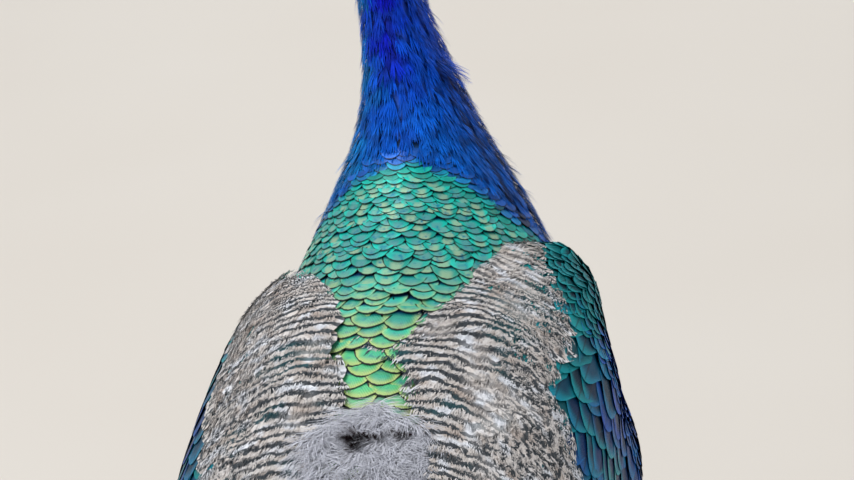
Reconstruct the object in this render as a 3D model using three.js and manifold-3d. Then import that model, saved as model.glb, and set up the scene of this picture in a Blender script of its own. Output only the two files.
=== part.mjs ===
// A life-size adult male Indian peafowl, standing with its train folded, as a museum shows one.
// Millimetres, +Z up. The bird faces -Y, so its left side is +X. The floor is at Z = 0.
//
// Every large form is a loft: rings of points carried along the body, the wing or the train,
// whose sizes are smooth curves through the few values listed for it below.
import * as THREE from "three";
import { mergeVertices } from "three/addons/utils/BufferGeometryUtils.js";
import Module from "manifold-3d";

const wasm = await Module();
wasm.setup();

const GAP = 0.35; // clearance between neighbouring pieces

// Neck and trunk are one form, from the top of the neck (first value) to the root of the tail (last).
// Each section plane passes through a point of the back line and a point of the underside line.
const BODY = {
  backY: [-140, -131, -122, -115, -104, -82, -45, 5, 65, 130, 195, 255, 305, 338],
  backZ: [846, 812, 760, 704, 650, 601, 562, 533, 512, 490, 461, 428, 396, 372],
  underY: [-180, -174, -168, -170, -182, -200, -214, -208, -158, -70, 35, 140, 228, 304],
  underZ: [824, 794, 748, 692, 624, 552, 476, 396, 324, 280, 268, 284, 318, 348],
  halfWidth: [14, 17, 19, 20.5, 23.5, 37.5, 64, 86, 99, 105, 101, 86, 58, 26],
  sideLean: [38, 37, 34, 28, 19, 9, 2, 0, 0, 0, 0, 0, 0, 0],
  widestRise: 0.1, // the widest level lies this share of the half height above the middle
  pastEnd: 34, // the train keeps clear of the line of the trunk for this far behind its end
  sides: 20,
  neckUpperEnd: 2.4, // where the named lengths meet, counted in values
  neckLowerEnd: 5.2,
  seam: 0.012, // half of the cut between them, counted in values
  steps: { neckUpper: 7, neckLower: 8, trunk: 18 },
};
const HEAD = {
  centre: [38, -170, 846],
  turn: 10, // degrees towards the bird's left
  y: [35, 29, 16, 0, -14, -26, -35],
  topZ: [2, 14, 21, 21.5, 18, 12, 7.5],
  underZ: [-8, -14, -18, -19, -17, -13, -9],
  halfWidth: [6, 13, 17, 18, 15.5, 11, 7.5],
  sides: 16,
  steps: 12,
};
const EYE = { radius: 6.4, at: [12.2, -11.5, 4.5] };
const BILL = {
  rootY: -33.5,
  length: 33,
  halfWidth: [7, 6.2, 4.9, 3.2, 0.9],
  topZ: [7.2, 6.6, 4.6, 0.6, -7.2],
  gapeZ: [-1.4, -1.7, -2.2, -3.4, -8.2],
  underZ: [-8.2, -8, -7.2, -6.2, -4.6],
  lowerShare: 0.86, // the lower half is this share of the upper one's length
  sides: 10,
  steps: 7,
};
const CREST = {
  feathers: 20,
  length: 52,
  root: [0, 13, 20.5], // on the crown, from the middle of the head
  rootSize: [3.2, 6.4, 2],
  rootSpan: 9, // from the first feather's root to the last one's
  leans: [-14, 62], // degrees back from straight up, of the first and the last feather
  fan: 13, // degrees to each side
  shaft: 0.5,
  tip: [0.9, 9, 6.5], // half thickness, half length and half width
};
// The folded wing is a shell over the side of the trunk. Its sections are upright planes.
const WING = {
  y: [-116, -96, -40, 30, 110, 190, 262, 318, 352],
  halfWidth: [72, 99, 119, 125, 123, 113, 96, 80, 71],
  middleZ: [448, 442, 426, 410, 396, 384, 380, 380, 380],
  rise: [40, 76, 112, 116, 108, 92, 62, 34, 14],
  innerAngle: [64, 44, 24, 10, 7, 14, 30, 54, 78], // degrees from straight up to the edge by the spine
  outerAngle: [92, 104, 114, 120, 122, 120, 114, 106, 98], // and to the lower edge
  thickness: [8, 18, 30, 34, 34, 30, 20, 12, 6],
  squareness: 0.86,
  clearance: 2.6, // between the shell and the trunk, so that their flat facets stay apart
  thinnest: [3.5, 7], // the least thickness, at the edges and in the middle
  edgeShare: 0.3, // thickness at the edges as a share of that in the middle
  arcSides: 10,
  primariesFrom: 0.7, // share of the length where the long flight feathers stand alone
  seam: 0.001, // half of the cut there, as a share of the length
  steps: { arm: 12, primaries: 5 },
};
// The train lies over the rump and tail and comes down to the floor behind.
const TRAIN = {
  y: [120, 230, 340, 460, 620, 800, 990, 1170, 1315, 1425],
  topZ: [499, 466, 424, 370, 298, 222, 146, 80, 35, 13],
  halfWidth: [9, 32, 60, 95, 121, 138, 148, 143, 117, 50],
  thickness: [14, 36, 60, 72, 64, 52, 44, 40, 35, 13],
  edgeDrop: [2, 11, 30, 52, 64, 64, 54, 36, 16, 4],
  edgeShare: 0.25, // thickness at the edges as a share of that in the middle
  clearance: 6, // over the rump, which the train covers
  tipThickness: 4,
  arcSides: 8,
  rows: 21,
  shares: [0.32, 0.68], // where the three named lengths meet
  seam: 0.0006, // half of each cut there, as a share of the length
};
const TAIL = {
  fromY: 380,
  toY: 700,
  rootHalf: 26,
  tipHalf: 90,
  thickness: 5,
  clearance: 4, // below the train
  arcSides: 6,
  steps: 8,
};
const LEG = {
  sideways: 60,
  thigh: [[16, 370], [30, 278], [64.2, 181.5]], // Y and Z of the middle of the feathered thigh
  thighAcross: [44, 43, 36, 25, 15, 12],
  thighDeep: [66, 62, 50, 33, 19, 14],
  thighSides: 14,
  shank: [[63, 184], [22, 6]], // Y and Z, from above the hock to inside the pad
  shankHalf: [9.5, 7.6, 5.6, 5.2, 5.6, 8.2],
  shankDeeper: 1.15, // depth as a share of width
  footY: 22, // where the toes meet
  sole: { forward: 3, topRadius: 10, radius: 11.5, height: 9 },
  spur: [[38, 76], [50, 77.5], [62, 85]],
  spurHalf: [4.2, 3, 0.6],
  spurInwards: [0, 3.5, 7],
};
const TOES = [
  { name: "middle", angle: 0, length: 68, half: 6.2, claw: 15 },
  { name: "inner", angle: 38, length: 46, half: 5.6, claw: 13 },
  { name: "outer", angle: -36, length: 52, half: 5.6, claw: 13 },
  { name: "hind", angle: 168, length: 26, half: 4.6, claw: 11 },
];
const TOE = { height: 2.1, middleShare: 0.36, taper: 0.36, swell: 0.09, sides: 8, steps: 6 };
const CLAW = { rooted: 4, rootHalf: 0.56, rootZ: 0.74, tipHalf: 0.45, tipZ: 1.1, sides: 6, steps: 4 };

const COLOURS = {
  blue: [0x0b3f9e, 0.4, 0.3],
  back: [0x2c8f6b, 0.45, 0.3],
  barred: [0x8f877b, 0.7, 0],
  rufous: [0x8a4a22, 0.65, 0],
  train: [0x4f7a35, 0.45, 0.3],
  tail: [0x5b4a3a, 0.75, 0],
  buff: [0xa08a6c, 0.8, 0],
  horn: [0x8c8478, 0.45, 0],
  leg: [0x7d756a, 0.6, 0],
  claw: [0x39332d, 0.4, 0],
  eye: [0x1b0f08, 0.08, 0],
};

const UP = new THREE.Vector3(0, 0, 1);
const SIDE = new THREE.Vector3(1, 0, 0);
const radians = THREE.MathUtils.degToRad;

// Value at position x (0 to the last index) of a smooth curve through evenly spaced values.
function through(values, x) {
  const last = values.length - 1;
  const i = Math.min(Math.max(Math.floor(x), 0), last - 1);
  const f = x - i;
  const at = (k) => values[Math.min(Math.max(k, 0), last)];
  const step = at(i + 1) - at(i);
  const leave = (at(i + 1) - at(i - 1)) / 2;
  const arrive = (at(i + 2) - at(i)) / 2;
  return at(i) + f * (leave + f * (3 * step - 2 * leave - arrive + f * (leave + arrive - 2 * step)));
}

// The same, for a share of the whole length from 0 to 1.
const along = (values, share) => through(values, share * (values.length - 1));

// Evenly spaced numbers, both ends included.
const spread = (from, to, steps) =>
  Array.from({ length: steps + 1 }, (_, i) => THREE.MathUtils.lerp(from, to, i / steps));

// A closed skin over rings of points, with a fan of triangles over each end.
function loft(rings) {
  const n = rings[0].length;
  const middle = (ring) => ring.reduce((sum, p) => sum.add(p), new THREE.Vector3()).divideScalar(n);
  const points = [...rings.flat(), middle(rings[0]), middle(rings.at(-1))];
  const faces = [];
  const first = points.length - 2;
  const end = (rings.length - 1) * n;
  for (let j = 0; j < n; j++) {
    const k = (j + 1) % n;
    for (let i = 0; i < rings.length - 1; i++) {
      const a = i * n;
      const b = a + n;
      faces.push(a + j, b + j, b + k, a + j, b + k, a + k);
    }
    faces.push(first, j, k, first + 1, end + k, end + j);
  }
  return solid(points, faces);
}

// A manifold from points and faces, turned so that its faces point outwards.
function solid(points, faces) {
  const geometry = new THREE.BufferGeometry().setFromPoints(points).setIndex(faces);
  const merged = mergeVertices(geometry, 1e-4);
  const index = Uint32Array.from(merged.index.array);
  const make = () => new wasm.Manifold(
    new wasm.Mesh({ numProp: 3, vertProperties: merged.attributes.position.array, triVerts: index }),
  );
  const made = make();
  if (made.volume() > 0) return made;
  for (let i = 0; i < index.length; i += 3) [index[i], index[i + 1]] = [index[i + 1], index[i]];
  return make();
}

// A manifold from one of three.js's own geometries.
function fromGeometry(geometry) {
  const bare = geometry.clone();
  bare.deleteAttribute("normal");
  bare.deleteAttribute("uv");
  const merged = mergeVertices(bare, 1e-4);
  const position = merged.attributes.position;
  const point = (_, i) => new THREE.Vector3().fromBufferAttribute(position, i);
  return solid(Array.from({ length: position.count }, point), Array.from(merged.index.array));
}

// An oval ring about a centre, in the plane of two directions.
function oval(centre, across, halfAcross, up, halfUp, sides) {
  return Array.from({ length: sides }, (_, i) => {
    const angle = (2 * Math.PI * i) / sides;
    return centre.clone()
      .addScaledVector(across, halfAcross * Math.cos(angle))
      .addScaledVector(up, halfUp * Math.sin(angle));
  });
}

// A tapered limb through points: half widths across X, and in the plane of the limb.
function limb(points, halfAcross, halfDeep, sides, steps, grow = 0) {
  const path = new THREE.CatmullRomCurve3(points);
  return loft(
    spread(0, 1, steps).map((share) => {
      const deep = new THREE.Vector3().crossVectors(path.getTangent(share), SIDE).normalize();
      const across = along(halfAcross, share) + grow;
      return oval(path.getPoint(share), SIDE, across, deep, along(halfDeep, share) + grow, sides);
    }),
  );
}

// The section plane of the neck and trunk at a position counted in values.
function bodySection(x) {
  const back = new THREE.Vector3(0, through(BODY.backY, x), through(BODY.backZ, x));
  const under = new THREE.Vector3(0, through(BODY.underY, x), through(BODY.underZ, x));
  const height = back.clone().sub(under);
  const half = height.length() / 2;
  height.normalize();
  return { back, half, height, middle: back.clone().add(under).multiplyScalar(0.5) };
}

// One ring of the neck and trunk at a position counted in values.
function bodyRing(x, grow) {
  const { half, height, middle } = bodySection(x);
  middle.setX(through(BODY.sideLean, x));
  return Array.from({ length: BODY.sides }, (_, i) => {
    const angle = (2 * Math.PI * i) / BODY.sides;
    const level = (half + grow) * Math.cos(angle) + BODY.widestRise * half * Math.sin(angle) ** 2;
    return middle.clone()
      .addScaledVector(SIDE, (through(BODY.halfWidth, x) + grow) * Math.sin(angle))
      .addScaledVector(height, level);
  });
}

// The rings of each named length, which stop short of each other at a thin seam.
function bodyStations() {
  const { neckUpperEnd, neckLowerEnd, seam, steps } = BODY;
  return {
    neckUpper: spread(0, neckUpperEnd - seam, steps.neckUpper),
    neckLower: spread(neckUpperEnd + seam, neckLowerEnd - seam, steps.neckLower),
    trunk: spread(neckLowerEnd + seam, BODY.backY.length - 1, steps.trunk),
  };
}

const bodyLoft = (stations, grow = 0) => loft(stations.map((x) => bodyRing(x, grow)));

function headRing(share, grow) {
  const top = along(HEAD.topZ, share) + grow;
  const under = along(HEAD.underZ, share) - grow;
  const centre = new THREE.Vector3(0, along(HEAD.y, share), (top + under) / 2);
  return oval(centre, SIDE, along(HEAD.halfWidth, share) + grow, UP, (top - under) / 2, HEAD.sides);
}

const skull = (grow = 0) => loft(spread(0, 1, HEAD.steps).map((share) => headRing(share, grow)));

function eyeball(side, grow = 0) {
  const [x, y, z] = EYE.at;
  const ball = new THREE.SphereGeometry(EYE.radius + grow, 12, 8).rotateZ(Math.PI / 2);
  return fromGeometry(ball.translate(side * x, y, z));
}

// Half of the bill: rings between an upper and a lower line, narrowing to the tip.
function billHalf(upper, lower, length) {
  return loft(
    spread(0, 1, BILL.steps).map((share) => {
      const top = along(upper, share);
      const bottom = along(lower, share);
      const centre = new THREE.Vector3(0, BILL.rootY - length * share, (top + bottom) / 2);
      return oval(centre, SIDE, along(BILL.halfWidth, share), UP, (top - bottom) / 2, BILL.sides);
    }),
  );
}

// The crest: bare shafts fanned from the crown, each with a small broad tip.
function crest() {
  const root = new THREE.Vector3(...CREST.root);
  let made = fromGeometry(new THREE.SphereGeometry(1, 6, 4).scale(...CREST.rootSize).translate(...CREST.root));
  for (const [i, share] of spread(0, 1, CREST.feathers - 1).entries()) {
    const lean = radians(THREE.MathUtils.lerp(...CREST.leans, share));
    const fan = radians(CREST.fan * Math.sin(i * 2.4)); // neighbours point to different sides
    const aim = new THREE.Vector3(Math.sin(fan), Math.sin(lean), Math.cos(lean)).normalize();
    const turn = new THREE.Quaternion().setFromUnitVectors(new THREE.Vector3(0, 1, 0), aim);
    const length = CREST.length * (0.86 + 0.14 * Math.sin(Math.PI * share)); // the middle ones are longest
    const start = root.clone().add(new THREE.Vector3(0, CREST.rootSpan * (share - 0.5), -CREST.rootSize[2]));
    const place = (geometry) => geometry.applyQuaternion(turn).translate(...start.toArray());
    const shaft = new THREE.CylinderGeometry(CREST.shaft, CREST.shaft * 1.3, length, 3).translate(0, length / 2, 0);
    const tip = new THREE.SphereGeometry(1, 4, 3).scale(...CREST.tip).translate(0, length, 0);
    made = made.add(fromGeometry(place(shaft))).add(fromGeometry(place(tip)));
  }
  return made;
}

// Whether a point is inside the neck and trunk, swollen by a margin. Halving finds its section.
function insideBody(point, margin) {
  const last = BODY.backY.length - 1;
  const ahead = ({ back, height }) => new THREE.Vector3().crossVectors(SIDE, height).dot(point.clone().sub(back));
  if (ahead(bodySection(last)) < -BODY.pastEnd) return false;
  let low = BODY.neckUpperEnd;
  let high = last;
  for (let i = 0; i < 20; i++) {
    const x = (low + high) / 2;
    if (ahead(bodySection(x)) < 0) low = x;
    else high = x;
  }
  const { half, height, middle } = bodySection(low);
  const level = point.clone().sub(middle).dot(height);
  const across = (point.x - through(BODY.sideLean, low)) / (through(BODY.halfWidth, low) + margin);
  return across ** 2 + ((level - BODY.widestRise * half * across ** 2) / (half + margin)) ** 2 < 1;
}

// The share of the way from start to end beyond which the path stays clear of the body.
function clearOfBody(start, end, margin) {
  const inside = (share) => insideBody(start.clone().lerp(end, share), margin);
  const steps = 16;
  let low = spread(1, 0, steps).find(inside);
  if (low === undefined) return 0;
  let high = low + 1 / steps;
  for (let i = 0; i < 12; i++) {
    const middle = (low + high) / 2;
    if (inside(middle)) low = middle;
    else high = middle;
  }
  return high;
}

// The outer and inner points of the folded wing's shell on one ray from the middle of its section.
function wingPair(share, across, side, grow) {
  const swell = THREE.MathUtils.radToDeg((2 * grow) / along(WING.halfWidth, share));
  const inner = along(WING.innerAngle, share) - swell;
  const outer = along(WING.outerAngle, share) + swell;
  const angle = radians(THREE.MathUtils.lerp(inner, outer, across));
  const power = (value) => Math.sign(value) * Math.abs(value) ** WING.squareness;
  const reach = new THREE.Vector3(
    side * along(WING.halfWidth, share) * power(Math.sin(angle)),
    0,
    along(WING.rise, share) * power(Math.cos(angle)),
  );
  const length = reach.length();
  const past = grow * ((share === 1) - (share === 0)); // the swollen wing is longer at both ends
  const middle = new THREE.Vector3(0, along(WING.y, share) + past, along(WING.middleZ, share));
  const rim = Math.min(1, 4 * Math.min(across, 1 - across)); // 0 at both edges, 1 in the middle half
  const thickness = along(WING.thickness, share) * THREE.MathUtils.lerp(WING.edgeShare, 1, rim);
  const furthest = 1.6; // the trunk lies well within this many lengths
  const floor = furthest * clearOfBody(middle, middle.clone().addScaledVector(reach, furthest), WING.clearance);
  const sunk = Math.max(floor, 1 - thickness / length);
  const proud = Math.max(1, sunk + THREE.MathUtils.lerp(...WING.thinnest, rim) / length);
  return [proud + grow / length, sunk - grow / length].map((k) => middle.clone().addScaledVector(reach, k));
}

const WING_STATIONS = {
  arm: spread(0, WING.primariesFrom - WING.seam, WING.steps.arm),
  primaries: spread(WING.primariesFrom + WING.seam, 1, WING.steps.primaries),
};

// A stretch of the folded wing as a shell: its outer arc, and its inner arc back again.
function wingShell(stations, side, grow = 0) {
  const across = spread(0, 1, WING.arcSides - 1);
  return loft(
    stations.map((share) => {
      const pairs = across.map((v) => wingPair(share, v, side, grow));
      return [...pairs.map(([proud]) => proud), ...pairs.reverse().map(([, sunk]) => sunk)];
    }),
  );
}

// The upper and lower points of the train at a share of its length and of its half width.
function trainPair(share, across) {
  const thickness = (1 - (1 - TRAIN.edgeShare) * across ** 2) * along(TRAIN.thickness, share);
  const top = new THREE.Vector3(
    along(TRAIN.halfWidth, share) * across,
    along(TRAIN.y, share),
    Math.max(along(TRAIN.topZ, share) - along(TRAIN.edgeDrop, share) * across ** 2, TRAIN.tipThickness),
  );
  const under = top.clone().setZ(Math.max(top.z - thickness, 0));
  const above = top.clone().setZ(top.z + 60);
  under.lerp(above, clearOfBody(under, above, TRAIN.clearance));
  return [top.setZ(Math.max(top.z, under.z + TRAIN.tipThickness)), under];
}

function trainLength(from, to) {
  const steps = Math.ceil(TRAIN.rows * (to - from));
  return loft(
    spread(from, to, steps).map((share) => {
      const pairs = spread(-1, 1, TRAIN.arcSides).map((v) => trainPair(share, v));
      return [...pairs.map(([top]) => top), ...pairs.reverse().map(([, under]) => under)];
    }),
  );
}

// The stiff tail: a thin fan that follows the underside of the train.
function tailFan() {
  return loft(
    spread(0, 1, TAIL.steps).map((outwards) => {
      const y = THREE.MathUtils.lerp(TAIL.fromY, TAIL.toY, outwards);
      const share = shareAtY(TRAIN.y, y);
      const half = THREE.MathUtils.lerp(TAIL.rootHalf, TAIL.tipHalf, Math.sin((Math.PI / 2) * outwards));
      const tops = spread(-1, 1, TAIL.arcSides).map((v) => {
        const [, under] = trainPair(share, (v * half) / along(TRAIN.halfWidth, share));
        return under.setZ(under.z - TAIL.clearance);
      });
      const unders = tops.map((p) => p.clone().setZ(p.z - TAIL.thickness));
      return [...tops, ...unders.reverse()];
    }),
  );
}

// The share of the length at which a rising curve through values reaches y, by halving.
function shareAtY(values, y) {
  let low = 0;
  let high = 1;
  for (let i = 0; i < 30; i++) {
    const middle = (low + high) / 2;
    if (along(values, middle) < y) low = middle;
    else high = middle;
  }
  return low;
}

// A point of the leg from its Y and Z.
const legPoint = ([y, z], side, inwards = 0) => new THREE.Vector3(side * (LEG.sideways - inwards), y, z);

const thigh = (side, grow = 0) =>
  limb(LEG.thigh.map((at) => legPoint(at, side)), LEG.thighAcross, LEG.thighDeep, LEG.thighSides, 8, grow);

// The bare shank: a knobbed hock above, and a pad with a flat sole below.
function shank(side, grow = 0) {
  const deep = LEG.shankHalf.map((r) => r * LEG.shankDeeper);
  const tube = limb(LEG.shank.map((at) => legPoint(at, side)), LEG.shankHalf, deep, 10, 7, grow);
  const { forward, topRadius, radius, height } = LEG.sole;
  const sole = new THREE.CylinderGeometry(topRadius + grow, radius + grow, height, 10).rotateX(Math.PI / 2);
  return tube.add(fromGeometry(sole.translate(side * LEG.sideways, LEG.footY - forward, height / 2)));
}

// A toe along +X from its root: a round back over a flat sole, with a swell at each of its three joints.
function toeSolid({ length, half }, grow = 0) {
  return loft(
    spread(0, 1, TOE.steps).map((share) => {
      const swell = 1 + TOE.swell * Math.cos(3 * 2 * Math.PI * share);
      const wide = half * (1 - TOE.taper * share) * swell + grow;
      const high = TOE.height * half * (1 - TOE.taper * share) * swell + grow;
      return spread(0.5, TOE.sides - 0.5, TOE.sides - 1).map((j) => {
        const angle = (2 * Math.PI * j) / TOE.sides;
        const z = Math.max(0, high * (TOE.middleShare + (1 - TOE.middleShare) * Math.sin(angle)));
        return new THREE.Vector3(length * share, wide * Math.cos(angle), z);
      });
    }),
  );
}

// A claw: a curved cone from inside the end of a toe, its tip just above the floor.
function clawSolid({ length, half, claw }) {
  const { rooted, rootHalf, rootZ, tipHalf, tipZ } = CLAW;
  return loft(
    spread(0, 1, CLAW.steps).map((share) => {
      const radius = half * rootHalf * (1 - share) + tipHalf;
      const z = THREE.MathUtils.lerp(half * rootZ, tipZ, share ** 2);
      const centre = new THREE.Vector3(length - rooted + (claw + rooted) * share, 0, z);
      return oval(centre, new THREE.Vector3(0, 1, 0), radius, UP, Math.min(radius * 1.15, z - 0.2), CLAW.sides);
    }),
  );
}

// The spur on the back of the shank, which turns a little up and in.
function spur(side) {
  const path = LEG.spur.map((at, i) => legPoint(at, side, LEG.spurInwards[i]));
  return limb(path, LEG.spurHalf, LEG.spurHalf, 7, 4);
}

// The largest body of a cut solid, without the slivers that a cut leaves.
const largest = (made) =>
  made.decompose().reduce((best, part) => (part.volume() > best.volume() ? part : best));

// A mesh of a manifold in one of the named colours.
function meshOf(name, manifold, [colour, roughness, metalness]) {
  const mesh = largest(manifold).getMesh();
  const positions = new Float32Array(mesh.numVert * 3);
  for (let i = 0; i < mesh.numVert; i++) {
    positions.set(mesh.vertProperties.subarray(i * mesh.numProp, i * mesh.numProp + 3), i * 3);
  }
  const geometry = new THREE.BufferGeometry()
    .setAttribute("position", new THREE.BufferAttribute(positions, 3))
    .setIndex(new THREE.BufferAttribute(mesh.triVerts, 1));
  geometry.computeVertexNormals();
  const material = new THREE.MeshStandardMaterial({ color: colour, roughness, metalness });
  const made = new THREE.Mesh(geometry, material);
  made.name = name;
  return made;
}

// The head, in its own turned group, with the eyes, bill and crest on it.
function headGroup() {
  const group = new THREE.Group();
  group.position.set(...HEAD.centre);
  group.rotation.z = radians(HEAD.turn);
  const upper = billHalf(BILL.topZ, BILL.gapeZ, BILL.length);
  const drop = (values) => values.map((z) => z - GAP);
  const lower = billHalf(drop(BILL.gapeZ), BILL.underZ, BILL.length * BILL.lowerShare).subtract(upper);
  const bare = skull().subtract(eyeball(1, GAP)).subtract(eyeball(-1, GAP));
  group.add(
    meshOf("head", bare, COLOURS.blue),
    meshOf("eye_left", eyeball(1), COLOURS.eye),
    meshOf("eye_right", eyeball(-1), COLOURS.eye),
    meshOf("bill_upper", upper.subtract(skull(GAP)), COLOURS.horn),
    meshOf("bill_lower", lower.subtract(skull(GAP)), COLOURS.horn),
    meshOf("crest", crest().subtract(skull(GAP)), COLOURS.blue),
  );
  return group;
}

// The grown skull, placed as the head group is, to cut the neck with.
function placedSkull() {
  const [x, y, z] = HEAD.centre;
  return skull(GAP).rotate([0, 0, HEAD.turn]).translate([x, y, z]);
}

function legGroup(side, trunk) {
  const name = side > 0 ? "left" : "right";
  const group = new THREE.Group();
  const bareShank = shank(side).subtract(thigh(side, GAP));
  group.add(
    meshOf("thigh_" + name, thigh(side).subtract(trunk), COLOURS.buff),
    meshOf("shank_" + name, bareShank, COLOURS.leg),
    meshOf("spur_" + name, spur(side).subtract(shank(side, GAP)), COLOURS.claw),
  );
  // Toes are modelled along +X and turned forwards, which is -Y. The inner toe turns to the middle.
  const place = (made, toe) =>
    made.rotate([0, 0, -90 - side * toe.angle]).translate([side * LEG.sideways, LEG.footY, 0]);
  let cutter = shank(side, GAP);
  for (const toe of TOES) {
    const grown = place(toeSolid(toe, GAP), toe);
    group.add(
      meshOf("toe_" + name + "_" + toe.name, place(toeSolid(toe), toe).subtract(cutter), COLOURS.leg),
      meshOf("claw_" + name + "_" + toe.name, place(clawSolid(toe), toe).subtract(grown), COLOURS.claw),
    );
    cutter = cutter.add(grown);
  }
  return group;
}

function wingGroup(side) {
  const name = side > 0 ? "left" : "right";
  const group = new THREE.Group();
  group.add(
    meshOf("wing_" + name, wingShell(WING_STATIONS.arm, side), COLOURS.barred),
    meshOf("primaries_" + name, wingShell(WING_STATIONS.primaries, side), COLOURS.rufous),
  );
  return group;
}

// The train in three named lengths, and the stiff tail below it.
function trainGroup() {
  const group = new THREE.Group();
  const seam = TRAIN.seam;
  const [first, second] = TRAIN.shares;
  group.add(
    meshOf("train_root", trainLength(0, first - seam), COLOURS.train),
    meshOf("train_middle", trainLength(first + seam, second - seam), COLOURS.train),
    meshOf("train_end", trainLength(second + seam, 1), COLOURS.train),
    meshOf("tail", tailFan(), COLOURS.tail),
  );
  return group;
}

function bird() {
  const group = new THREE.Group();
  const { neckUpper, neckLower, trunk } = bodyStations();
  const grownBody = bodyLoft([...neckLower, ...trunk], GAP);
  const wings = [1, -1].map((side) => wingShell([...WING_STATIONS.arm, ...WING_STATIONS.primaries], side, GAP));
  group.add(
    headGroup(),
    meshOf("neck_upper", bodyLoft(neckUpper).subtract(placedSkull()), COLOURS.blue),
    meshOf("neck_lower", bodyLoft(neckLower), COLOURS.blue),
    meshOf("trunk", bodyLoft(trunk), COLOURS.back),
    legGroup(1, grownBody.add(wings[0])),
    legGroup(-1, grownBody.add(wings[1])),
    wingGroup(1),
    wingGroup(-1),
    trainGroup(),
  );
  return group;
}

// The finished group, centred over its own footprint so that the origin is below its middle.
const peacock = bird();
const extent = new THREE.Box3().setFromObject(peacock);
const middle = extent.getCenter(new THREE.Vector3());
peacock.position.set(-middle.x, -middle.y, -extent.min.z);
const root = new THREE.Group();
root.add(peacock);

export default root;
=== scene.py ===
"""A life-size adult male Indian peafowl, standing with its train folded.

Lengths in the tables are millimetres, in the bird's own frame: +Z up, the bird faces -Y, its left
side is +X, and its toes meet at Y = 22. Meshes are metres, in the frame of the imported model.
"""

from __future__ import annotations

import logging
import math
from collections.abc import Sequence
from dataclasses import dataclass, field, fields, replace
from enum import Enum
import bmesh
import bpy
import numpy as np
from mathutils import Matrix, Vector


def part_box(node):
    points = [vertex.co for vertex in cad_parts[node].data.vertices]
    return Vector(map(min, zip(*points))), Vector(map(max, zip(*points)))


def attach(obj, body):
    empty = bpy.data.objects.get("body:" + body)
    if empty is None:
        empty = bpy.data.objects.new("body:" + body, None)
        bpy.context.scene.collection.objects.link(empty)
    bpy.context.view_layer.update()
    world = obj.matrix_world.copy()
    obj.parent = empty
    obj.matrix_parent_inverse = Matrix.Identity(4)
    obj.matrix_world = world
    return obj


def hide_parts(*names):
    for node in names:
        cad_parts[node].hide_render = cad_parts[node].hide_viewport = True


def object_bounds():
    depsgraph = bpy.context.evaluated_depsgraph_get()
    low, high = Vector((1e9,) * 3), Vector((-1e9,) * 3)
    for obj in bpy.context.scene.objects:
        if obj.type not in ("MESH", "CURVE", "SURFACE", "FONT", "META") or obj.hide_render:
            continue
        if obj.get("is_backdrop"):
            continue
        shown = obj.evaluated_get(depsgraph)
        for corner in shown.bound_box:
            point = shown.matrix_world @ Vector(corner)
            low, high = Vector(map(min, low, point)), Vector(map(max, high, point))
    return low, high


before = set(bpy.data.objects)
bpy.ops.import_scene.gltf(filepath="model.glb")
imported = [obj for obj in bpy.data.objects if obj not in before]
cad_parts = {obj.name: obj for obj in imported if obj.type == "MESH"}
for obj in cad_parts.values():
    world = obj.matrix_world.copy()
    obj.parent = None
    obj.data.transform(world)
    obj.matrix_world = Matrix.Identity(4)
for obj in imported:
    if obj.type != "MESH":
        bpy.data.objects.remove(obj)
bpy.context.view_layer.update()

LOG = logging.getLogger("peacock")
MM = 0.001
ROOT_BODY = "root"
CLAW_TIP_Y = -61.0  # of the middle toe's claw, in the bird's own frame
SEED = 20240611
AROUND = (-math.pi, math.pi)  # all the angles of a section
BAKE_FROM, BAKE_SPAN = 0.005, 0.99  # the part of the bake map that is in use
LOWEST = 0.1  # height of the lowest points over the floor
TOUCHING = 2e-6  # points no further apart than this become one, in metres
EYE_AT = (12.2, -11.5, 4.5)  # middle of the left eye, in the head's own frame
Array = np.ndarray
Random = np.random.Generator
Material = bpy.types.Material
Socket = bpy.types.NodeSocket


# ---- curves and arrays


def through(values: Sequence[float], x: Array) -> Array:
    """Smooth curve through evenly spaced values: on each step the cubic with their mean slopes.

    Args:
        values: the values, one for each whole position.
        x: positions, from 0 to the last value's.

    Returns:
        The curve's value at each position.
    """
    v = np.asarray(values, dtype=float)
    last = len(v) - 1
    x = np.asarray(x, dtype=float)
    i = np.clip(np.floor(x).astype(int), 0, last - 1)
    f = x - i
    before, here, after, beyond = (v[np.clip(i + k, 0, last)] for k in (-1, 0, 1, 2))
    step = after - here
    leave = (after - before) / 2
    arrive = (beyond - here) / 2
    return here + f * (leave + f * (3 * step - 2 * leave - arrive + f * (leave + arrive - 2 * step)))


def along(values: Sequence[float], share: Array) -> Array:
    """The same curve at a share of its length, from 0 to 1."""
    return through(values, np.asarray(share, dtype=float) * (len(values) - 1))


def smooth(low: float, high: float, x: Array) -> Array:
    """0 below low, 1 above high, and a smooth rise between."""
    t = np.clip((x - low) / (high - low), 0, 1)
    return t * t * (3 - 2 * t)


def unit(vectors: Array) -> Array:
    """The vectors at length 1."""
    return vectors / np.maximum(np.linalg.norm(vectors, axis=-1, keepdims=True), 1e-12)


def vector(x: Array, y: Array, z: Array) -> Array:
    """Points from their three coordinates, which may be numbers or arrays."""
    return np.stack(np.broadcast_arrays(x, y, z), axis=-1).astype(float)


def colour(r: float, g: float, b: float) -> Array:
    """Linear colour from display values of 0 to 255."""
    c = np.array([r, g, b], dtype=float) / 255
    return np.where(c <= 0.04045, c / 12.92, ((c + 0.055) / 1.055) ** 2.4)


def linear(tint: Array | tuple) -> Array:
    """A colour's linear values, where a tuple holds display values. Anything else stays as it is."""
    return colour(*tint) if isinstance(tint, tuple) else tint


def mix(first: Array | tuple, second: Array | tuple, share: Array) -> Array:
    """Blend of two colours, each a tuple or an array, by a share with one dimension less."""
    share = np.asarray(share)[..., None]
    return linear(first) * (1 - share) + linear(second) * share


def ring(count: int) -> Array:
    """Angles of a ring's points, as one row."""
    return np.linspace(0, 2 * np.pi, count + 1)[None, :-1]


# ---- forms


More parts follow.
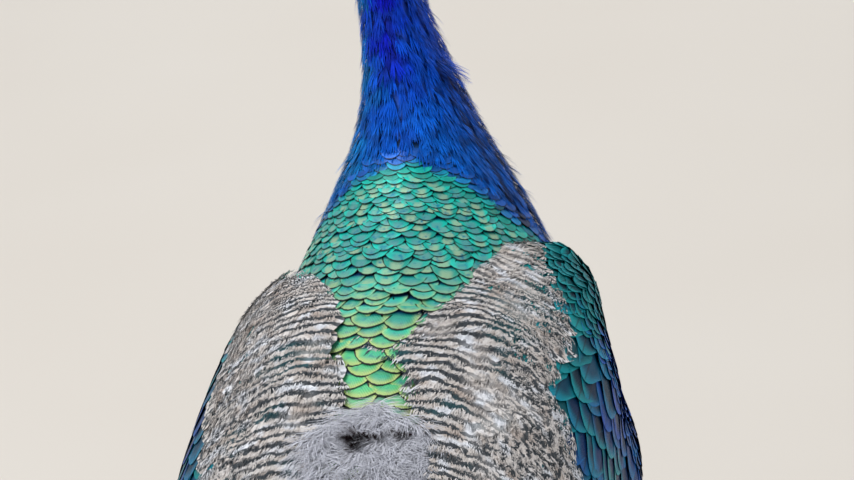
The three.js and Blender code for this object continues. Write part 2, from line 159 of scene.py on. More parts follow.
class Form:
    """A surface with two parameters: s runs with the lie of the feathers, a runs across it."""

    outward: float = 1.0

    def point(self, s: Array, a: Array) -> Array:
        """Points of the surface, in millimetres."""
        raise NotImplementedError

    def frame_at(self, s: Array, a: Array) -> tuple[Array, Array, Array, Array]:
        """Point, the two tangents for one unit of s and of a, and the outward normal."""
        e = 1e-3
        here = self.point(s, a)
        ts = (self.point(s + e, a) - self.point(s - e, a)) / (2 * e)
        ta = (self.point(s, a + e) - self.point(s, a - e)) / (2 * e)
        return here, ts, ta, unit(np.cross(ts, ta)) * self.outward


@dataclass
class BodyForm(Form):
    """Neck and trunk: s counts the listed sections, a is the angle from the back line."""

    back_y: tuple = (-140, -131, -122, -115, -104, -82, -45, 5, 65, 130, 195, 255, 305, 338)
    back_z: tuple = (846, 812, 760, 704, 650, 601, 562, 533, 512, 490, 461, 428, 396, 372)
    under_y: tuple = (-180, -174, -168, -170, -182, -200, -214, -208, -158, -70, 35, 140, 228, 304)
    under_z: tuple = (824, 794, 748, 692, 624, 552, 476, 396, 324, 280, 268, 284, 318, 348)
    half_width: tuple = (14, 17, 17.6, 17.4, 20.6, 34.8, 62, 86, 99, 105, 101, 86, 58, 26)
    side_lean: tuple = (38, 37, 33, 24.5, 15, 6, 1, 0, 0, 0, 0, 0, 0, 0)
    widest_rise: float = 0.1
    outward: float = -1.0

    @property
    def last(self) -> int:
        """Position of the last section."""
        return len(self.back_y) - 1

    def section(self, s: Array) -> tuple[Array, Array, Array]:
        """Middle, unit direction from underside to back, and half height of each section."""
        back = vector(0, through(self.back_y, s), through(self.back_z, s))
        under = vector(0, through(self.under_y, s), through(self.under_z, s))
        rise = back - under
        return (back + under) / 2, unit(rise), np.linalg.norm(rise, axis=-1) / 2

    def point(self, s: Array, a: Array) -> Array:
        """An egg-shaped section, widest a little above its middle."""
        s, a = np.broadcast_arrays(s, a)
        middle, up, half = self.section(s)
        level = half * (np.cos(a) + self.widest_rise * np.sin(a) ** 2)
        made = middle + up * level[..., None]
        made[..., 0] += through(self.side_lean, s) + through(self.half_width, s) * np.sin(a)
        return made

    def radius_along(self, start: Array, reach: Array) -> Array:
        """How many lengths of reach lie inside the trunk, from each start, by stepping inwards."""
        tries = np.linspace(1.6, 0.2, 57)
        found = np.zeros(start.shape[:-1])
        for k in tries:
            inside = self.inside(start + reach * k)
            found = np.where((found == 0) & inside, k, found)
        return found

    def locate(self, p: Array, start: float = 2.4) -> tuple[Array, Array, Array]:
        """Position, angle and share of the way out, for points. Halving finds their sections."""
        low = np.full(p.shape[:-1], start)
        high = np.full(p.shape[:-1], float(self.last))
        for _ in range(14):
            s = (low + high) / 2
            middle, up, _ = self.section(s)
            ahead = np.cross(np.array([1.0, 0, 0]), up)
            before = np.sum(ahead * (p - middle), axis=-1) < 0
            low = np.where(before, s, low)
            high = np.where(before, high, s)
        middle, up, half = self.section(low)
        level = np.sum((p - middle) * up, axis=-1) / half
        across = (p[..., 0] - through(self.side_lean, low)) / through(self.half_width, low)
        level = level - self.widest_rise * across**2
        return low, np.arctan2(across, level), np.hypot(across, level)

    def inside(self, p: Array) -> Array:
        """Whether points are inside."""
        return self.locate(p)[2] < 1


@dataclass
class HeadForm(Form):
    """The skull: s runs from the bill's root (0) to the nape (1), a is the angle from the crown."""

    centre: tuple = (38, -170, 846)
    turn: float = 10.0
    y: tuple = (-35, -26, -14, 0, 16, 29, 35)
    top_z: tuple = (7.5, 12, 18, 21.5, 21, 14, 2)
    under_z: tuple = (-9, -13, -17, -19, -18, -14, -8)
    half_width: tuple = (7.5, 11, 15.5, 18, 17, 13, 6)
    outward: float = -1.0

    def place(self, p: Array) -> Array:
        """Points of the head's own frame, turned and carried to the bird's frame."""
        angle = math.radians(self.turn)
        c, n = math.cos(angle), math.sin(angle)
        x, y, z = p[..., 0], p[..., 1], p[..., 2]
        cx, cy, cz = self.centre
        return vector(cx + c * x - n * y, cy + n * x + c * y, cz + z)

    def local(self, s: Array, a: Array) -> Array:
        """An oval section in the head's own frame."""
        s, a = np.broadcast_arrays(s, a)
        top, under = along(self.top_z, s), along(self.under_z, s)
        z = (top + under) / 2 + (top - under) / 2 * np.cos(a)
        return vector(along(self.half_width, s) * np.sin(a), along(self.y, s), z)

    def point(self, s: Array, a: Array) -> Array:
        """The same, in the bird's frame."""
        return self.place(self.local(s, a))


@dataclass
class WingForm(Form):
    """A folded wing: s is the share of its length from the shoulder, a of its width from the spine."""

    side: int
    body: BodyForm
    y: tuple = (-116, -96, -40, 30, 110, 190, 262, 318, 352)
    half_width: tuple = (72, 99, 119, 125, 123, 113, 96, 80, 71)
    middle_z: tuple = (448, 442, 426, 410, 396, 384, 380, 380, 380)
    rise: tuple = (40, 76, 112, 116, 108, 92, 62, 34, 14)
    inner_angle: tuple = (64, 44, 24, 10, 7, 14, 30, 54, 78)
    outer_angle: tuple = (92, 104, 114, 120, 122, 120, 114, 106, 98)
    squareness: float = 0.86
    over_trunk: float = 6.0
    sunk_front: float = 0.1
    sunk_inner: float = 0.045
    sunk_shoulder: float = 0.06
    length: float = 480.0
    swollen: tuple = (0.0, 0.0)
    grid: tuple = (49, 25)
    outward: float = field(init=False)
    proud: Array = field(init=False)

    def __post_init__(self) -> None:
        """Works out, on a grid, how far the trunk pushes the wing out."""
        self.outward = -float(self.side)
        s, a = np.meshgrid(*(np.linspace(0, 1, n) for n in self.grid), indexing="ij")
        middle, reach = self.rays(s, a)
        close = self.body.radius_along(middle, reach) + self.over_trunk / np.linalg.norm(reach, axis=-1)
        front = smooth(self.sunk_front, 0.0, s)
        self.proud = np.maximum(1, close) * (1 - front) + (close - self.sunk_shoulder) * front

    def rays(self, s: Array, a: Array) -> tuple[Array, Array]:
        """The middle of each section, and the way from it to the wing's surface before the trunk."""
        s, a = np.broadcast_arrays(s, a)
        s = np.clip(s, 0, 1)
        inner, outer = along(self.inner_angle, s), along(self.outer_angle, s)
        angle = np.radians(inner + (outer - inner) * a)
        sine, cosine = np.sin(angle), np.cos(angle)
        x = along(self.half_width, s) * np.sign(sine) * np.abs(sine) ** self.squareness
        z = along(self.rise, s) * np.sign(cosine) * np.abs(cosine) ** self.squareness
        middle = vector(0, along(self.y, s), along(self.middle_z, s))
        return middle, vector(self.side * x, 0, z)

    def point(self, s: Array, a: Array) -> Array:
        """The ray's end, pushed out where the trunk is wider. Beyond its ends the wing goes straight on."""
        s, a = np.broadcast_arrays(np.asarray(s, float), np.asarray(a, float))
        middle, reach = self.rays(s, a)
        rows, columns = self.grid
        x = np.clip(s, 0, 1) * (rows - 1)
        y = np.clip(a, 0, 1) * (columns - 1)
        i, j = np.minimum(x.astype(int), rows - 2), np.minimum(y.astype(int), columns - 2)
        f, g = x - i, y - j
        k = self.proud
        low = k[i, j] * (1 - f) + k[i + 1, j] * f
        high = k[i, j + 1] * (1 - f) + k[i + 1, j + 1] * f
        share = low * (1 - g) + high * g - self.sunk_inner * smooth(0.1, -0.08, a)
        share = share + self.swell(s, a) / np.linalg.norm(reach, axis=-1)
        made = middle + reach * share[..., None]
        made[..., 1] += self.length * (s - np.clip(s, 0, 1))
        return made

    def swell(self, s: Array, a: Array) -> Array:
        """How far the feathers stand off at the shoulder and along the lower side, in millimetres."""
        shoulder = smooth(-0.02, 0.05, s) * smooth(0.3, 0.14, s)
        shoulder = shoulder * smooth(-0.22, 0.04, a) * smooth(0.6, 0.2, a)
        lower = smooth(0.1, 0.25, s) * smooth(0.7, 0.5, s) * smooth(0.68, 0.82, a)
        return self.swollen[0] * shoulder + self.swollen[1] * lower


@dataclass
class TrainForm(Form):
    """The train: s is the share of its length, a of its half width, and depth its place in the pile."""

    depth: float = 0.0
    y: tuple = (120, 230, 340, 460, 620, 800, 990, 1170, 1315, 1425)
    top_z: tuple = (499, 466, 424, 370, 298, 222, 146, 80, 35, 13)
    half_width: tuple = (9, 32, 60, 95, 121, 138, 148, 143, 117, 50)
    thickness: tuple = (14, 36, 60, 72, 64, 52, 44, 40, 35, 13)
    edge_drop: tuple = (2, 11, 30, 52, 64, 64, 54, 36, 16, 4)
    edge_share: float = 0.25
    tip_thickness: float = 4.0
    length: float = 1300.0
    outward: float = -1.0

    def point(self, s: Array, a: Array) -> Array:
        """An arched sheet, thinner towards its edges, that lies on the floor at its end."""
        s, a = np.broadcast_arrays(s, a)
        inside = np.clip(s, 0, 1)
        top = along(self.top_z, inside) - along(self.edge_drop, inside) * a**2
        top = np.maximum(top, self.tip_thickness)
        thick = (1 - (1 - self.edge_share) * np.clip(a**2, 0, 1)) * along(self.thickness, inside)
        under = np.maximum(top - thick, 0)
        y = along(self.y, inside) + self.length * (s - inside)
        return vector(along(self.half_width, inside) * a, y, top + (under - top) * self.depth)


@dataclass
class LimbForm(Form):
    """A tapered limb: s is the share of its length, a is the angle from the bird's outer side."""

    side: int
    path: tuple = ((16, 370), (30, 278), (64.2, 181.5))
    across: tuple = (44, 43, 36, 25, 15, 12)
    deep: tuple = (66, 62, 50, 33, 19, 14)
    sideways: float = 60.0
    outward: float = field(init=False)

    def __post_init__(self) -> None:
        """The outward side depends on which leg it is."""
        self.outward = float(self.side)

    def point(self, s: Array, a: Array) -> Array:
        """An oval section square to a smooth path through the listed points."""
        s, a = np.broadcast_arrays(s, a)
        y, z = (np.array(values, float) for values in zip(*self.path, strict=True))
        e = 1e-3
        middle = vector(self.side * self.sideways, along(y, s), along(z, s))
        ty = (along(y, s + e) - along(y, s - e)) / (2 * e)
        tz = (along(z, s + e) - along(z, s - e)) / (2 * e)
        length = np.hypot(ty, tz)
        deep = vector(0, -tz / length, ty / length)
        made = middle + deep * (along(self.deep, s) * np.sin(a))[..., None]
        made[..., 0] += self.side * along(self.across, s) * np.cos(a)
        return made


# ---- meshes


@dataclass
class Sheet:
    """Points in millimetres of the bird's frame, four-sided faces, two maps and named values."""

    points: Array
    faces: Array
    vane: Array
    bake: Array
    values: dict[str, Array] = field(default_factory=dict)

    @staticmethod
    def joined(sheets: Sequence["Sheet"]) -> "Sheet":
        """All the sheets as one."""
        starts = np.cumsum([0] + [len(sheet.points) for sheet in sheets[:-1]])
        names = sheets[0].values.keys()
        return Sheet(
            np.concatenate([sheet.points for sheet in sheets]),
            np.concatenate([sheet.faces + start for sheet, start in zip(sheets, starts, strict=True)]),
            np.concatenate([sheet.vane for sheet in sheets]),
            np.concatenate([sheet.bake for sheet in sheets]),
            {name: np.concatenate([sheet.values[name] for sheet in sheets]) for name in names},
        )


def grid_faces(count: int, rows: int, columns: int) -> Array:
    """Four-sided faces of many like grids, each of rows + 1 by columns + 1 points."""
    i, j = np.meshgrid(np.arange(rows), np.arange(columns), indexing="ij")
    first = (i * (columns + 1) + j).ravel()
    face = np.stack([first, first + 1, first + columns + 2, first + columns + 1], axis=-1)
    starts = np.arange(count) * (rows + 1) * (columns + 1)
    return (face[None] + starts[:, None, None]).reshape(-1, 4)


@dataclass(frozen=True)
class Vane:
    """Shape of a feather's vane.

    outline lists its half width along its length as shares of the widest, lift its height over the
    form in millimetres, tip how much of its length the round end takes, and cup how far the edges
    drop as a share of the half width.
    """

    outline: tuple = (0.5, 0.85, 1.0, 0.96, 0.7)
    lift: tuple = (-3.0, -1.2, 0.4)
    rows: int = 6
    columns: int = 4
    tip: float = 0.3
    cup: float = 0.08


BARB = Vane((0.8, 1.0, 0.75, 0.2), (-2.0, -0.4, 0.4, 0.8), rows=3, columns=1, tip=0.0, cup=0.0)


@dataclass
class Roots:
    """Where feathers grow on a form, and each one's own sizes, one array entry per feather."""

    s: Array
    a: Array
    length: Array
    width: Array
    turn: Array
    lift: Array
    seed: Array

    def __len__(self) -> int:
        """How many feathers there are."""
        return len(self.s)

    def arrays(self) -> list[Array]:
        """The arrays, in the order of the fields."""
        return [getattr(self, item.name) for item in fields(self)]

    @staticmethod
    def joined(groups: Sequence["Roots"]) -> "Roots":
        """All the groups as one."""
        return Roots(*map(np.concatenate, zip(*(group.arrays() for group in groups), strict=True)))

    def only(self, keep: Array) -> "Roots":
        """The feathers for which keep is true."""
        return Roots(*(array[keep] for array in self.arrays()))

    def repeated(self, count: int) -> "Roots":
        """Each feather as many times over, one after another."""
        return Roots(*(np.repeat(array, count) for array in self.arrays()))


def lay_vanes(form: Form, roots: Roots, vane: Vane, patch: float = 0.003) -> Sheet:
    """Feathers that follow a form: each is a grid laid along its own direction on the surface.

    A grid point is moved from the root by its distance along and across the feather, turned by the
    feather's angle and divided by the surface's own scale, then raised along the normal by the
    vane's lift less its cupped edge.

    Args:
        form: the surface that the feathers lie on.
        roots: where they grow, and their sizes.
        vane: the shape they share.
        patch: the size of each feather's place on the bake map.

    Returns:
        The feathers as one sheet.
    """
    n = len(roots)
    t = np.linspace(0, 1, vane.rows + 1)[None, :, None]
    u = np.linspace(-1, 1, vane.columns + 1)[None, None, :]
    length = roots.length[:, None, None]
    half = roots.width[:, None, None] / 2
    forward = length * t * (1 - vane.tip * u**2 * t)
    aside = half * u * along(vane.outline, t)
    cosine, sine = np.cos(roots.turn)[:, None, None], np.sin(roots.turn)[:, None, None]
    _, ts, ta, _ = form.frame_at(roots.s, roots.a)
    per_s = 1 / np.linalg.norm(ts, axis=-1)[:, None, None]
    most = 2 / np.linalg.norm(ta, axis=-1)[:, None, None]
    _, _, ta, _ = form.frame_at(roots.s[:, None, None] + length * t * cosine * per_s, roots.a[:, None, None])
    per_a = np.minimum(1 / np.linalg.norm(ta, axis=-1), most)
    s = roots.s[:, None, None] + (forward * cosine - aside * sine) * per_s
    a = roots.a[:, None, None] + (forward * sine + aside * cosine) * per_a
    here, _, _, normal = form.frame_at(s, a)
    height = along(vane.lift, t) + roots.lift[:, None, None] * t - vane.cup * half * u**2 * t
    points = here + normal * height[..., None]
    uv = np.stack(np.broadcast_arrays((u + 1) / 2, t), axis=-1) + np.zeros((n, 1, 1, 1))
    place = np.stack([roots.a - roots.a.min(), roots.s - roots.s.min()], axis=-1)
    place = place / np.maximum(place.max(axis=0), 1e-6) * (BAKE_SPAN - patch) + BAKE_FROM
    bake = place[:, None, None, :] + uv * patch
    count = (vane.rows + 1) * (vane.columns + 1)
    values = {"seed": np.repeat(roots.seed, count)}
    faces = grid_faces(n, vane.rows, vane.columns)
    if form.outward > 0:
        faces = faces[:, ::-1]
    return Sheet(points.reshape(-1, 3), faces, uv.reshape(-1, 2), bake.reshape(-1, 2), values)


def rows_of_roots(
    form: Form,
    s_range: tuple[float, float],
    a_range: tuple[float, float],
    spacing: tuple[float, float],
    size: tuple[float, float],
    rng: Random,
    scatter: float = 0.18,
) -> Roots:
    """Staggered rows of roots over a stretch of a form.

    Rows are as far apart along the form as spacing[0], and the roots of a row as spacing[1],
    measured at each row's middle, each row half a step aside from the last.

    Args:
        form: the surface.
        s_range: its stretch along the lie.
        a_range: its stretch across.
        spacing: distance between rows, and between the roots of a row, in millimetres.
        size: length and width of the feathers.
        rng: source of the scatter.
        scatter: how far roots stray, as a share of the spacing.

    Returns:
        The roots.
    """
    fine = np.linspace(*s_range, 400)
    middle = np.full_like(fine, sum(a_range) / 2)
    steps = np.linalg.norm(np.diff(form.point(fine, middle), axis=0), axis=-1)
    length = np.concatenate([[0], np.cumsum(steps)])
    rows = np.interp(np.arange(0, length[-1], spacing[0]), length, fine)
    across = np.linspace(*a_range, 200)
    all_s, all_a = [], []
    for i, row in enumerate(rows):
        line = form.point(np.full_like(across, row), across)
        reach = np.concatenate([[0], np.cumsum(np.linalg.norm(np.diff(line, axis=0), axis=-1))])
        at = np.arange((i % 2) * spacing[1] / 2, reach[-1], spacing[1])
        if len(at) > 1 and i % 2 == 0:
            at = at + (reach[-1] - at[-1]) / 2
        a = np.interp(np.clip(at, 0, reach[-1]), reach, across)
        all_a.append(a)
        all_s.append(np.full_like(a, row))
    s, a = np.concatenate(all_s), np.concatenate(all_a)
    n = len(s)
    _, ts, ta, _ = form.frame_at(s, a)
    s = s + rng.normal(0, scatter, n) * spacing[0] / np.linalg.norm(ts, axis=-1)
    a = a + rng.normal(0, scatter, n) * spacing[1] / np.linalg.norm(ta, axis=-1)
    return Roots(
        s,
        a,
        size[0] * rng.normal(1, 0.06, n),
        size[1] * rng.normal(1, 0.06, n),
        rng.normal(0, 0.06, n),
        rng.normal(0, 0.25, n),
        rng.random(n),
    )


# ---- finishes


class Graph:
    """A material's nodes, made and linked in short calls."""

    def __init__(self, name: str, **shader: float | tuple) -> None:
        """Starts a material whose shader has these values on its own sockets."""
        self.material = bpy.data.materials.new(name)
        self.material.use_nodes = True
        self.tree = self.material.node_tree
        self.shader = self.tree.nodes["Principled BSDF"]
        for socket, value in shader.items():
            self.shader.inputs[socket.replace("_", " ")].default_value = value

    def node(self, kind: str, inputs: dict | None = None, **settings: object) -> bpy.types.Node:
        """A node with its settings, and each input set to a value or linked to an output."""
        made = self.tree.nodes.new("ShaderNode" + kind)
        for name, value in settings.items():
            setattr(made, name, value)
        for key, value in (inputs or {}).items():
            self.put(made.inputs[key], value)
        return made

    def put(self, socket: Socket, value: object) -> None:
        """Links an output to a socket, or sets the socket's value."""
        if isinstance(value, Socket):
            self.tree.links.new(value, socket)
        elif isinstance(value, np.ndarray):
            socket.default_value = (*value.tolist(), 1.0)
        else:
            socket.default_value = value

    def math(self, operation: str, *terms: object) -> Socket:
        """The result of a Math node."""
        return self.node("Math", dict(enumerate(terms)), operation=operation).outputs[0]

    def scaled(self, value: object, factor: object, offset: object) -> Socket:
        """The value times a factor, plus an offset."""
        return self.math("MULTIPLY_ADD", value, factor, offset)

    def times(self, first: object, second: object) -> Socket:
        """The product of two values."""
        return self.math("MULTIPLY", first, second)

    def plus(self, first: object, second: object) -> Socket:
        """The sum of two values."""
        return self.math("ADD", first, second)

    def minus(self, first: object, second: object) -> Socket:
        """The first value less the second."""
        return self.math("SUBTRACT", first, second)

    def step(self, value: object, low: float, high: float) -> Socket:
        """0 below low, 1 above high, with a smooth rise. low may be the larger one."""
        inputs = {"Value": value, "From Min": low, "From Max": high}
        return self.node("MapRange", inputs, interpolation_type="SMOOTHSTEP").outputs[0]

    def blend(self, share: object, first: object, second: object) -> Socket:
        """A mix of two colours, each an output or a tuple of display values."""
        made = self.node("Mix", data_type="RGBA")
        self.put(made.inputs["Factor"], share)
        self.put(made.inputs[6], linear(first))
        self.put(made.inputs[7], linear(second))
        return made.outputs[2]

    def shade(self, tint: object, factor: object) -> Socket:
        """A colour made darker or lighter by a factor."""
        return self.node("VectorMath", {0: tint, "Scale": factor}, operation="SCALE").outputs[0]

    def value(self, name: str) -> Socket:
        """A named number of the mesh."""
        return self.node("Attribute", attribute_name=name).outputs["Fac"]

    def tint(self, name: str) -> Socket:
        """A named colour of the mesh."""
        return self.node("Attribute", attribute_name=name).outputs["Color"]

    def vane(self) -> tuple[Socket, Socket]:
        """Place across a feather, from 0 at its shaft to 1 at its edge, and along it from 0 to 1."""
        made = self.node("SeparateXYZ", {0: self.node("UVMap", uv_map="vane").outputs[0]})
        aside = self.math("ABSOLUTE", self.scaled(made.outputs[0], 2.0, -1.0))
        return aside, made.outputs[1]

    def noise(self, scale: float, detail: float = 2.0, where: object = None) -> Socket:
        """Noise in object space, or at the vector given."""
        where = self.node("TexCoord").outputs["Object"] if where is None else where
        return self.node("TexNoise", {"Vector": where, "Scale": scale, "Detail": detail}).outputs[0]

    def barbs(self, aside: object, forward: object, count: float, slant: float) -> Socket:
        """Fine stripes that run from the shaft out and towards the tip, from 0 to 1."""
        phase = self.scaled(aside, -slant, forward)
        wave = self.math("SINE", self.times(phase, count * 2 * math.pi))
        return self.scaled(wave, 0.5, 0.5)

    def bump(self, height: object, strength: float, distance: float = 0.0004) -> None:
        """Roughens the shader's normal by a height."""
        made = self.node("Bump", {"Strength": strength, "Distance": distance, "Height": height})
        self.put(self.shader.inputs["Normal"], made.outputs[0])

    def finish(self, base: object, roughness: object = None) -> Material:
        """Gives the shader its colour and returns the material."""
        self.put(self.shader.inputs["Base Color"], base)
        if roughness is not None:
            self.put(self.shader.inputs["Roughness"], roughness)
        return self.material


@dataclass(frozen=True)
class PlainCoat:
    """Soft feathers whose colour is worked out for each one: darker at the root in painted shade, with fine
    barbs.
    """

    name: str
    metallic: float = 0.0
    roughness: float = 0.6
    # brightness at the root: painted shade where the feathers above cover it
    root_shade: float = 0.35
    barbs: float = 9.0
    specular: float = 0.25

    def build(self) -> Material:
        """Makes the material."""
        g = Graph(self.name, Metallic=self.metallic, Specular_IOR_Level=self.specular)
        aside, forward = g.vane()
        barb = g.barbs(aside, forward, self.barbs, 0.6)
        # painted shade: darker towards the root
        body = g.step(forward, 0.0, 0.6)
        factor = g.scaled(body, 1.0 - self.root_shade, self.root_shade)
        factor = g.times(factor, g.scaled(barb, 0.3, 0.8))
        factor = g.times(factor, g.scaled(g.noise(160.0), 0.7, 0.65))
        g.bump(barb, 0.35)
        rough = g.scaled(barb, 0.12, self.roughness - 0.06)
        return g.finish(g.shade(g.tint("coat"), factor), rough)


@dataclass(frozen=True)
class ScaleCoat:
    """Scale feathers of the back: a pale heart, a rim of the coat's colour, a thin black fringe, and painted
    shadow towards the root.

    The mesh's low brings in the greener hearts and wide gold of the scales near the train, and its
    high the plain hearts next to the neck.
    """

    name: str = "mantle_scales"
    hearts: tuple = ((96, 150, 156), (176, 194, 156))
    low_hearts: tuple = ((40, 182, 176), (100, 204, 136))
    speck: tuple = (10, 96, 150)
    gold: tuple = (198, 212, 128)
    # painted shadow: the dark blue where the scale above covers the root
    covered: tuple = (4, 60, 110)
    fringe: tuple = (2, 14, 16)

    def build(self) -> Material:
        """Makes the material. Gold and fringe are bands of the distance from the feather's root."""
        g = Graph(self.name, Metallic=0.25, Roughness=0.4, Specular_IOR_Level=0.4)
        aside, forward = g.vane()
        seed = g.value("seed")
        stray = g.scaled(g.noise(900.0), 0.2, -0.1)
        out = g.plus(g.math("MAXIMUM", g.math("POWER", aside, 2.2), g.math("POWER", forward, 5.0)), stray)
        rim = g.tint("coat")
        low = g.value("low")
        heart = g.blend(g.step(seed, 0.3, 0.7), *self.hearts)
        heart = g.blend(low, heart, g.blend(seed, *self.low_hearts))
        heart = g.blend(g.step(g.noise(300.0), 0.5, 0.75), heart, self.speck)
        heart = g.blend(g.value("high"), heart, g.shade(rim, 0.7))
        centre = g.times(g.step(aside, 0.62, 0.2), g.step(forward, 0.5, 0.78))
        base = g.blend(g.times(centre, 0.7), rim, heart)
        gold = g.times(low, g.times(g.step(out, 0.12, 0.66), 0.8))
        base = g.blend(gold, base, self.gold)
        # painted shadow of the scale above, over the root part of each scale
        base = g.blend(g.step(forward, 0.62, 0.4), base, self.covered)
        base = g.blend(g.step(out, 0.72, 0.84), base, self.fringe)
        factor = g.scaled(g.barbs(aside, forward, 11.0, 0.8), 0.3, 0.75)
        # painted shade: darker towards the root, under the overlapping scales
        factor = g.times(factor, g.step(forward, -0.2, 0.6))
        g.bump(factor, 0.3)
        return g.finish(g.shade(base, factor))


@dataclass(frozen=True)
class BarredCoat:
    """Scapulars and lesser coverts: greyish cream with wavy slate bars across them."""

    name: str = "barred_scapulars"
    pitch: float = 7.4
    maze: float = 0.46
    # scale of each noise, how far it bends the wild bars more, and how far it bends all of them
    bends: tuple = ((0.03, 14.0, 20.0), (0.11, 10.0, 6.0), (0.5, 0.0, 2.4))
    creams: tuple = ((208, 200, 194), (222, 217, 215))
    tan: tuple = (184, 166, 154)
    white: tuple = (230, 232, 238)
    # painted highlight: the colour of the whiter patches over the cream
    slates: tuple = ((58, 64, 70), (18, 72, 80))

    def build(self) -> Material:
        """Makes the material. Bars are a sine of the distance along the bird, bent by noise."""
        g = Graph(self.name, Roughness=0.75)
        aside, forward = g.vane()
        seed = g.value("seed")
        lie, across, wild = g.value("lie"), g.value("across"), g.value("wild")
        where = g.node("CombineXYZ", {0: lie, 1: g.times(across, 0.75), 2: 0.0}).outputs[0]
        path = lie
        for scale, more, least in self.bends:
            bend = g.minus(g.noise(scale, 1.0, where), 0.5)
            path = g.scaled(bend, g.scaled(wild, more, least), path)
        path = g.scaled(g.minus(seed, 0.5), g.scaled(wild, 2.5, 1.2), path)
        path = g.scaled(aside, g.scaled(wild, -2.6, -1.2), path)
        wave = g.math("SINE", g.times(path, 2 * math.pi / self.pitch))
        maze = g.scaled(g.noise(self.maze, 1.0, where), 8.0, -4.0)
        wave = g.times(wave, g.scaled(wild, -0.6, 1.0))
        wave = g.scaled(maze, g.scaled(wild, 0.75, 0.15), wave)
        patchy = g.scaled(g.noise(0.045, 1.0, where), 2.2, -1.1)
        wave = g.plus(wave, g.times(patchy, 0.5))
        faint = g.times(g.step(g.noise(0.03, 1.0, where), 0.3, 0.48), g.value("marked"))
        bar = g.times(g.step(wave, -0.15, 0.25), g.scaled(faint, 0.5, 0.5))
        cream = g.blend(seed, *self.creams)
        cream = g.blend(g.step(g.noise(60.0, 3.0), 0.45, 0.8), cream, self.tan)
        # painted highlight: whiter patches scattered by noise over the cream
        cream = g.blend(g.step(g.noise(0.1, 1.0, where), 0.5, 0.68), cream, self.white)
        dark = g.blend(g.step(g.noise(28.0), 0.52, 0.68), *self.slates)
        base = g.blend(bar, cream, dark)
        barb = g.barbs(aside, forward, 22.0, 0.5)
        factor = g.scaled(barb, 0.24, 0.86)
        factor = g.times(factor, g.scaled(g.noise(500.0, 2.0), 0.5, 0.75))
        g.bump(barb, 0.4)
        return g.finish(g.shade(base, factor))


@dataclass(frozen=True)
class GlossCoat:
    """Stiff glossy feathers with a dark heart, a pale or dark shaft and a coloured edge."""

    name: str
    heart: tuple = (30, 50, 72)
    edge: tuple = (0, 104, 124)
    shaft: tuple = (16, 26, 36)
    metallic: float = 0.15
    roughness: float = 0.42
    specular: float = 0.35
    barbs: float = 34.0

    def build(self) -> Material:
        """Makes the material."""
        g = Graph(self.name, Metallic=self.metallic, Specular_IOR_Level=self.specular)
        aside, forward = g.vane()
        seed = g.value("seed")
        patch = g.plus(g.scaled(g.noise(40.0), 0.9, -0.45), aside)
        edge = g.blend(g.step(g.noise(14.0), 0.4, 0.6), self.edge, g.tint("coat"))
        heart = g.blend(g.times(seed, 0.4), self.heart, g.tint("coat"))
        base = g.blend(g.step(patch, 0.35, 1.05), heart, edge)
        base = g.blend(g.step(forward, 0.72, 1.0), base, edge)
        base = g.blend(g.times(g.step(aside, 0.07, 0.02), 0.5), base, self.shaft)
        barb = g.barbs(aside, forward, self.barbs, 0.35)
        factor = g.scaled(barb, 0.3, 0.8)
        # painted shade: darker at the root, where the feather above covers it
        factor = g.times(factor, g.scaled(g.step(forward, -0.3, 0.4), 0.45, 0.55))
        g.bump(barb, 0.4)
        rough = g.scaled(barb, 0.15, self.roughness - 0.05)
        return g.finish(g.shade(base, factor), rough)


# ---- the stage


def placed(name: str, data: bpy.types.ID) -> bpy.types.Object:
    """A new object in the scene, at the origin."""
    made = bpy.data.objects.new(name, data)
    bpy.context.collection.objects.link(made)
    return made


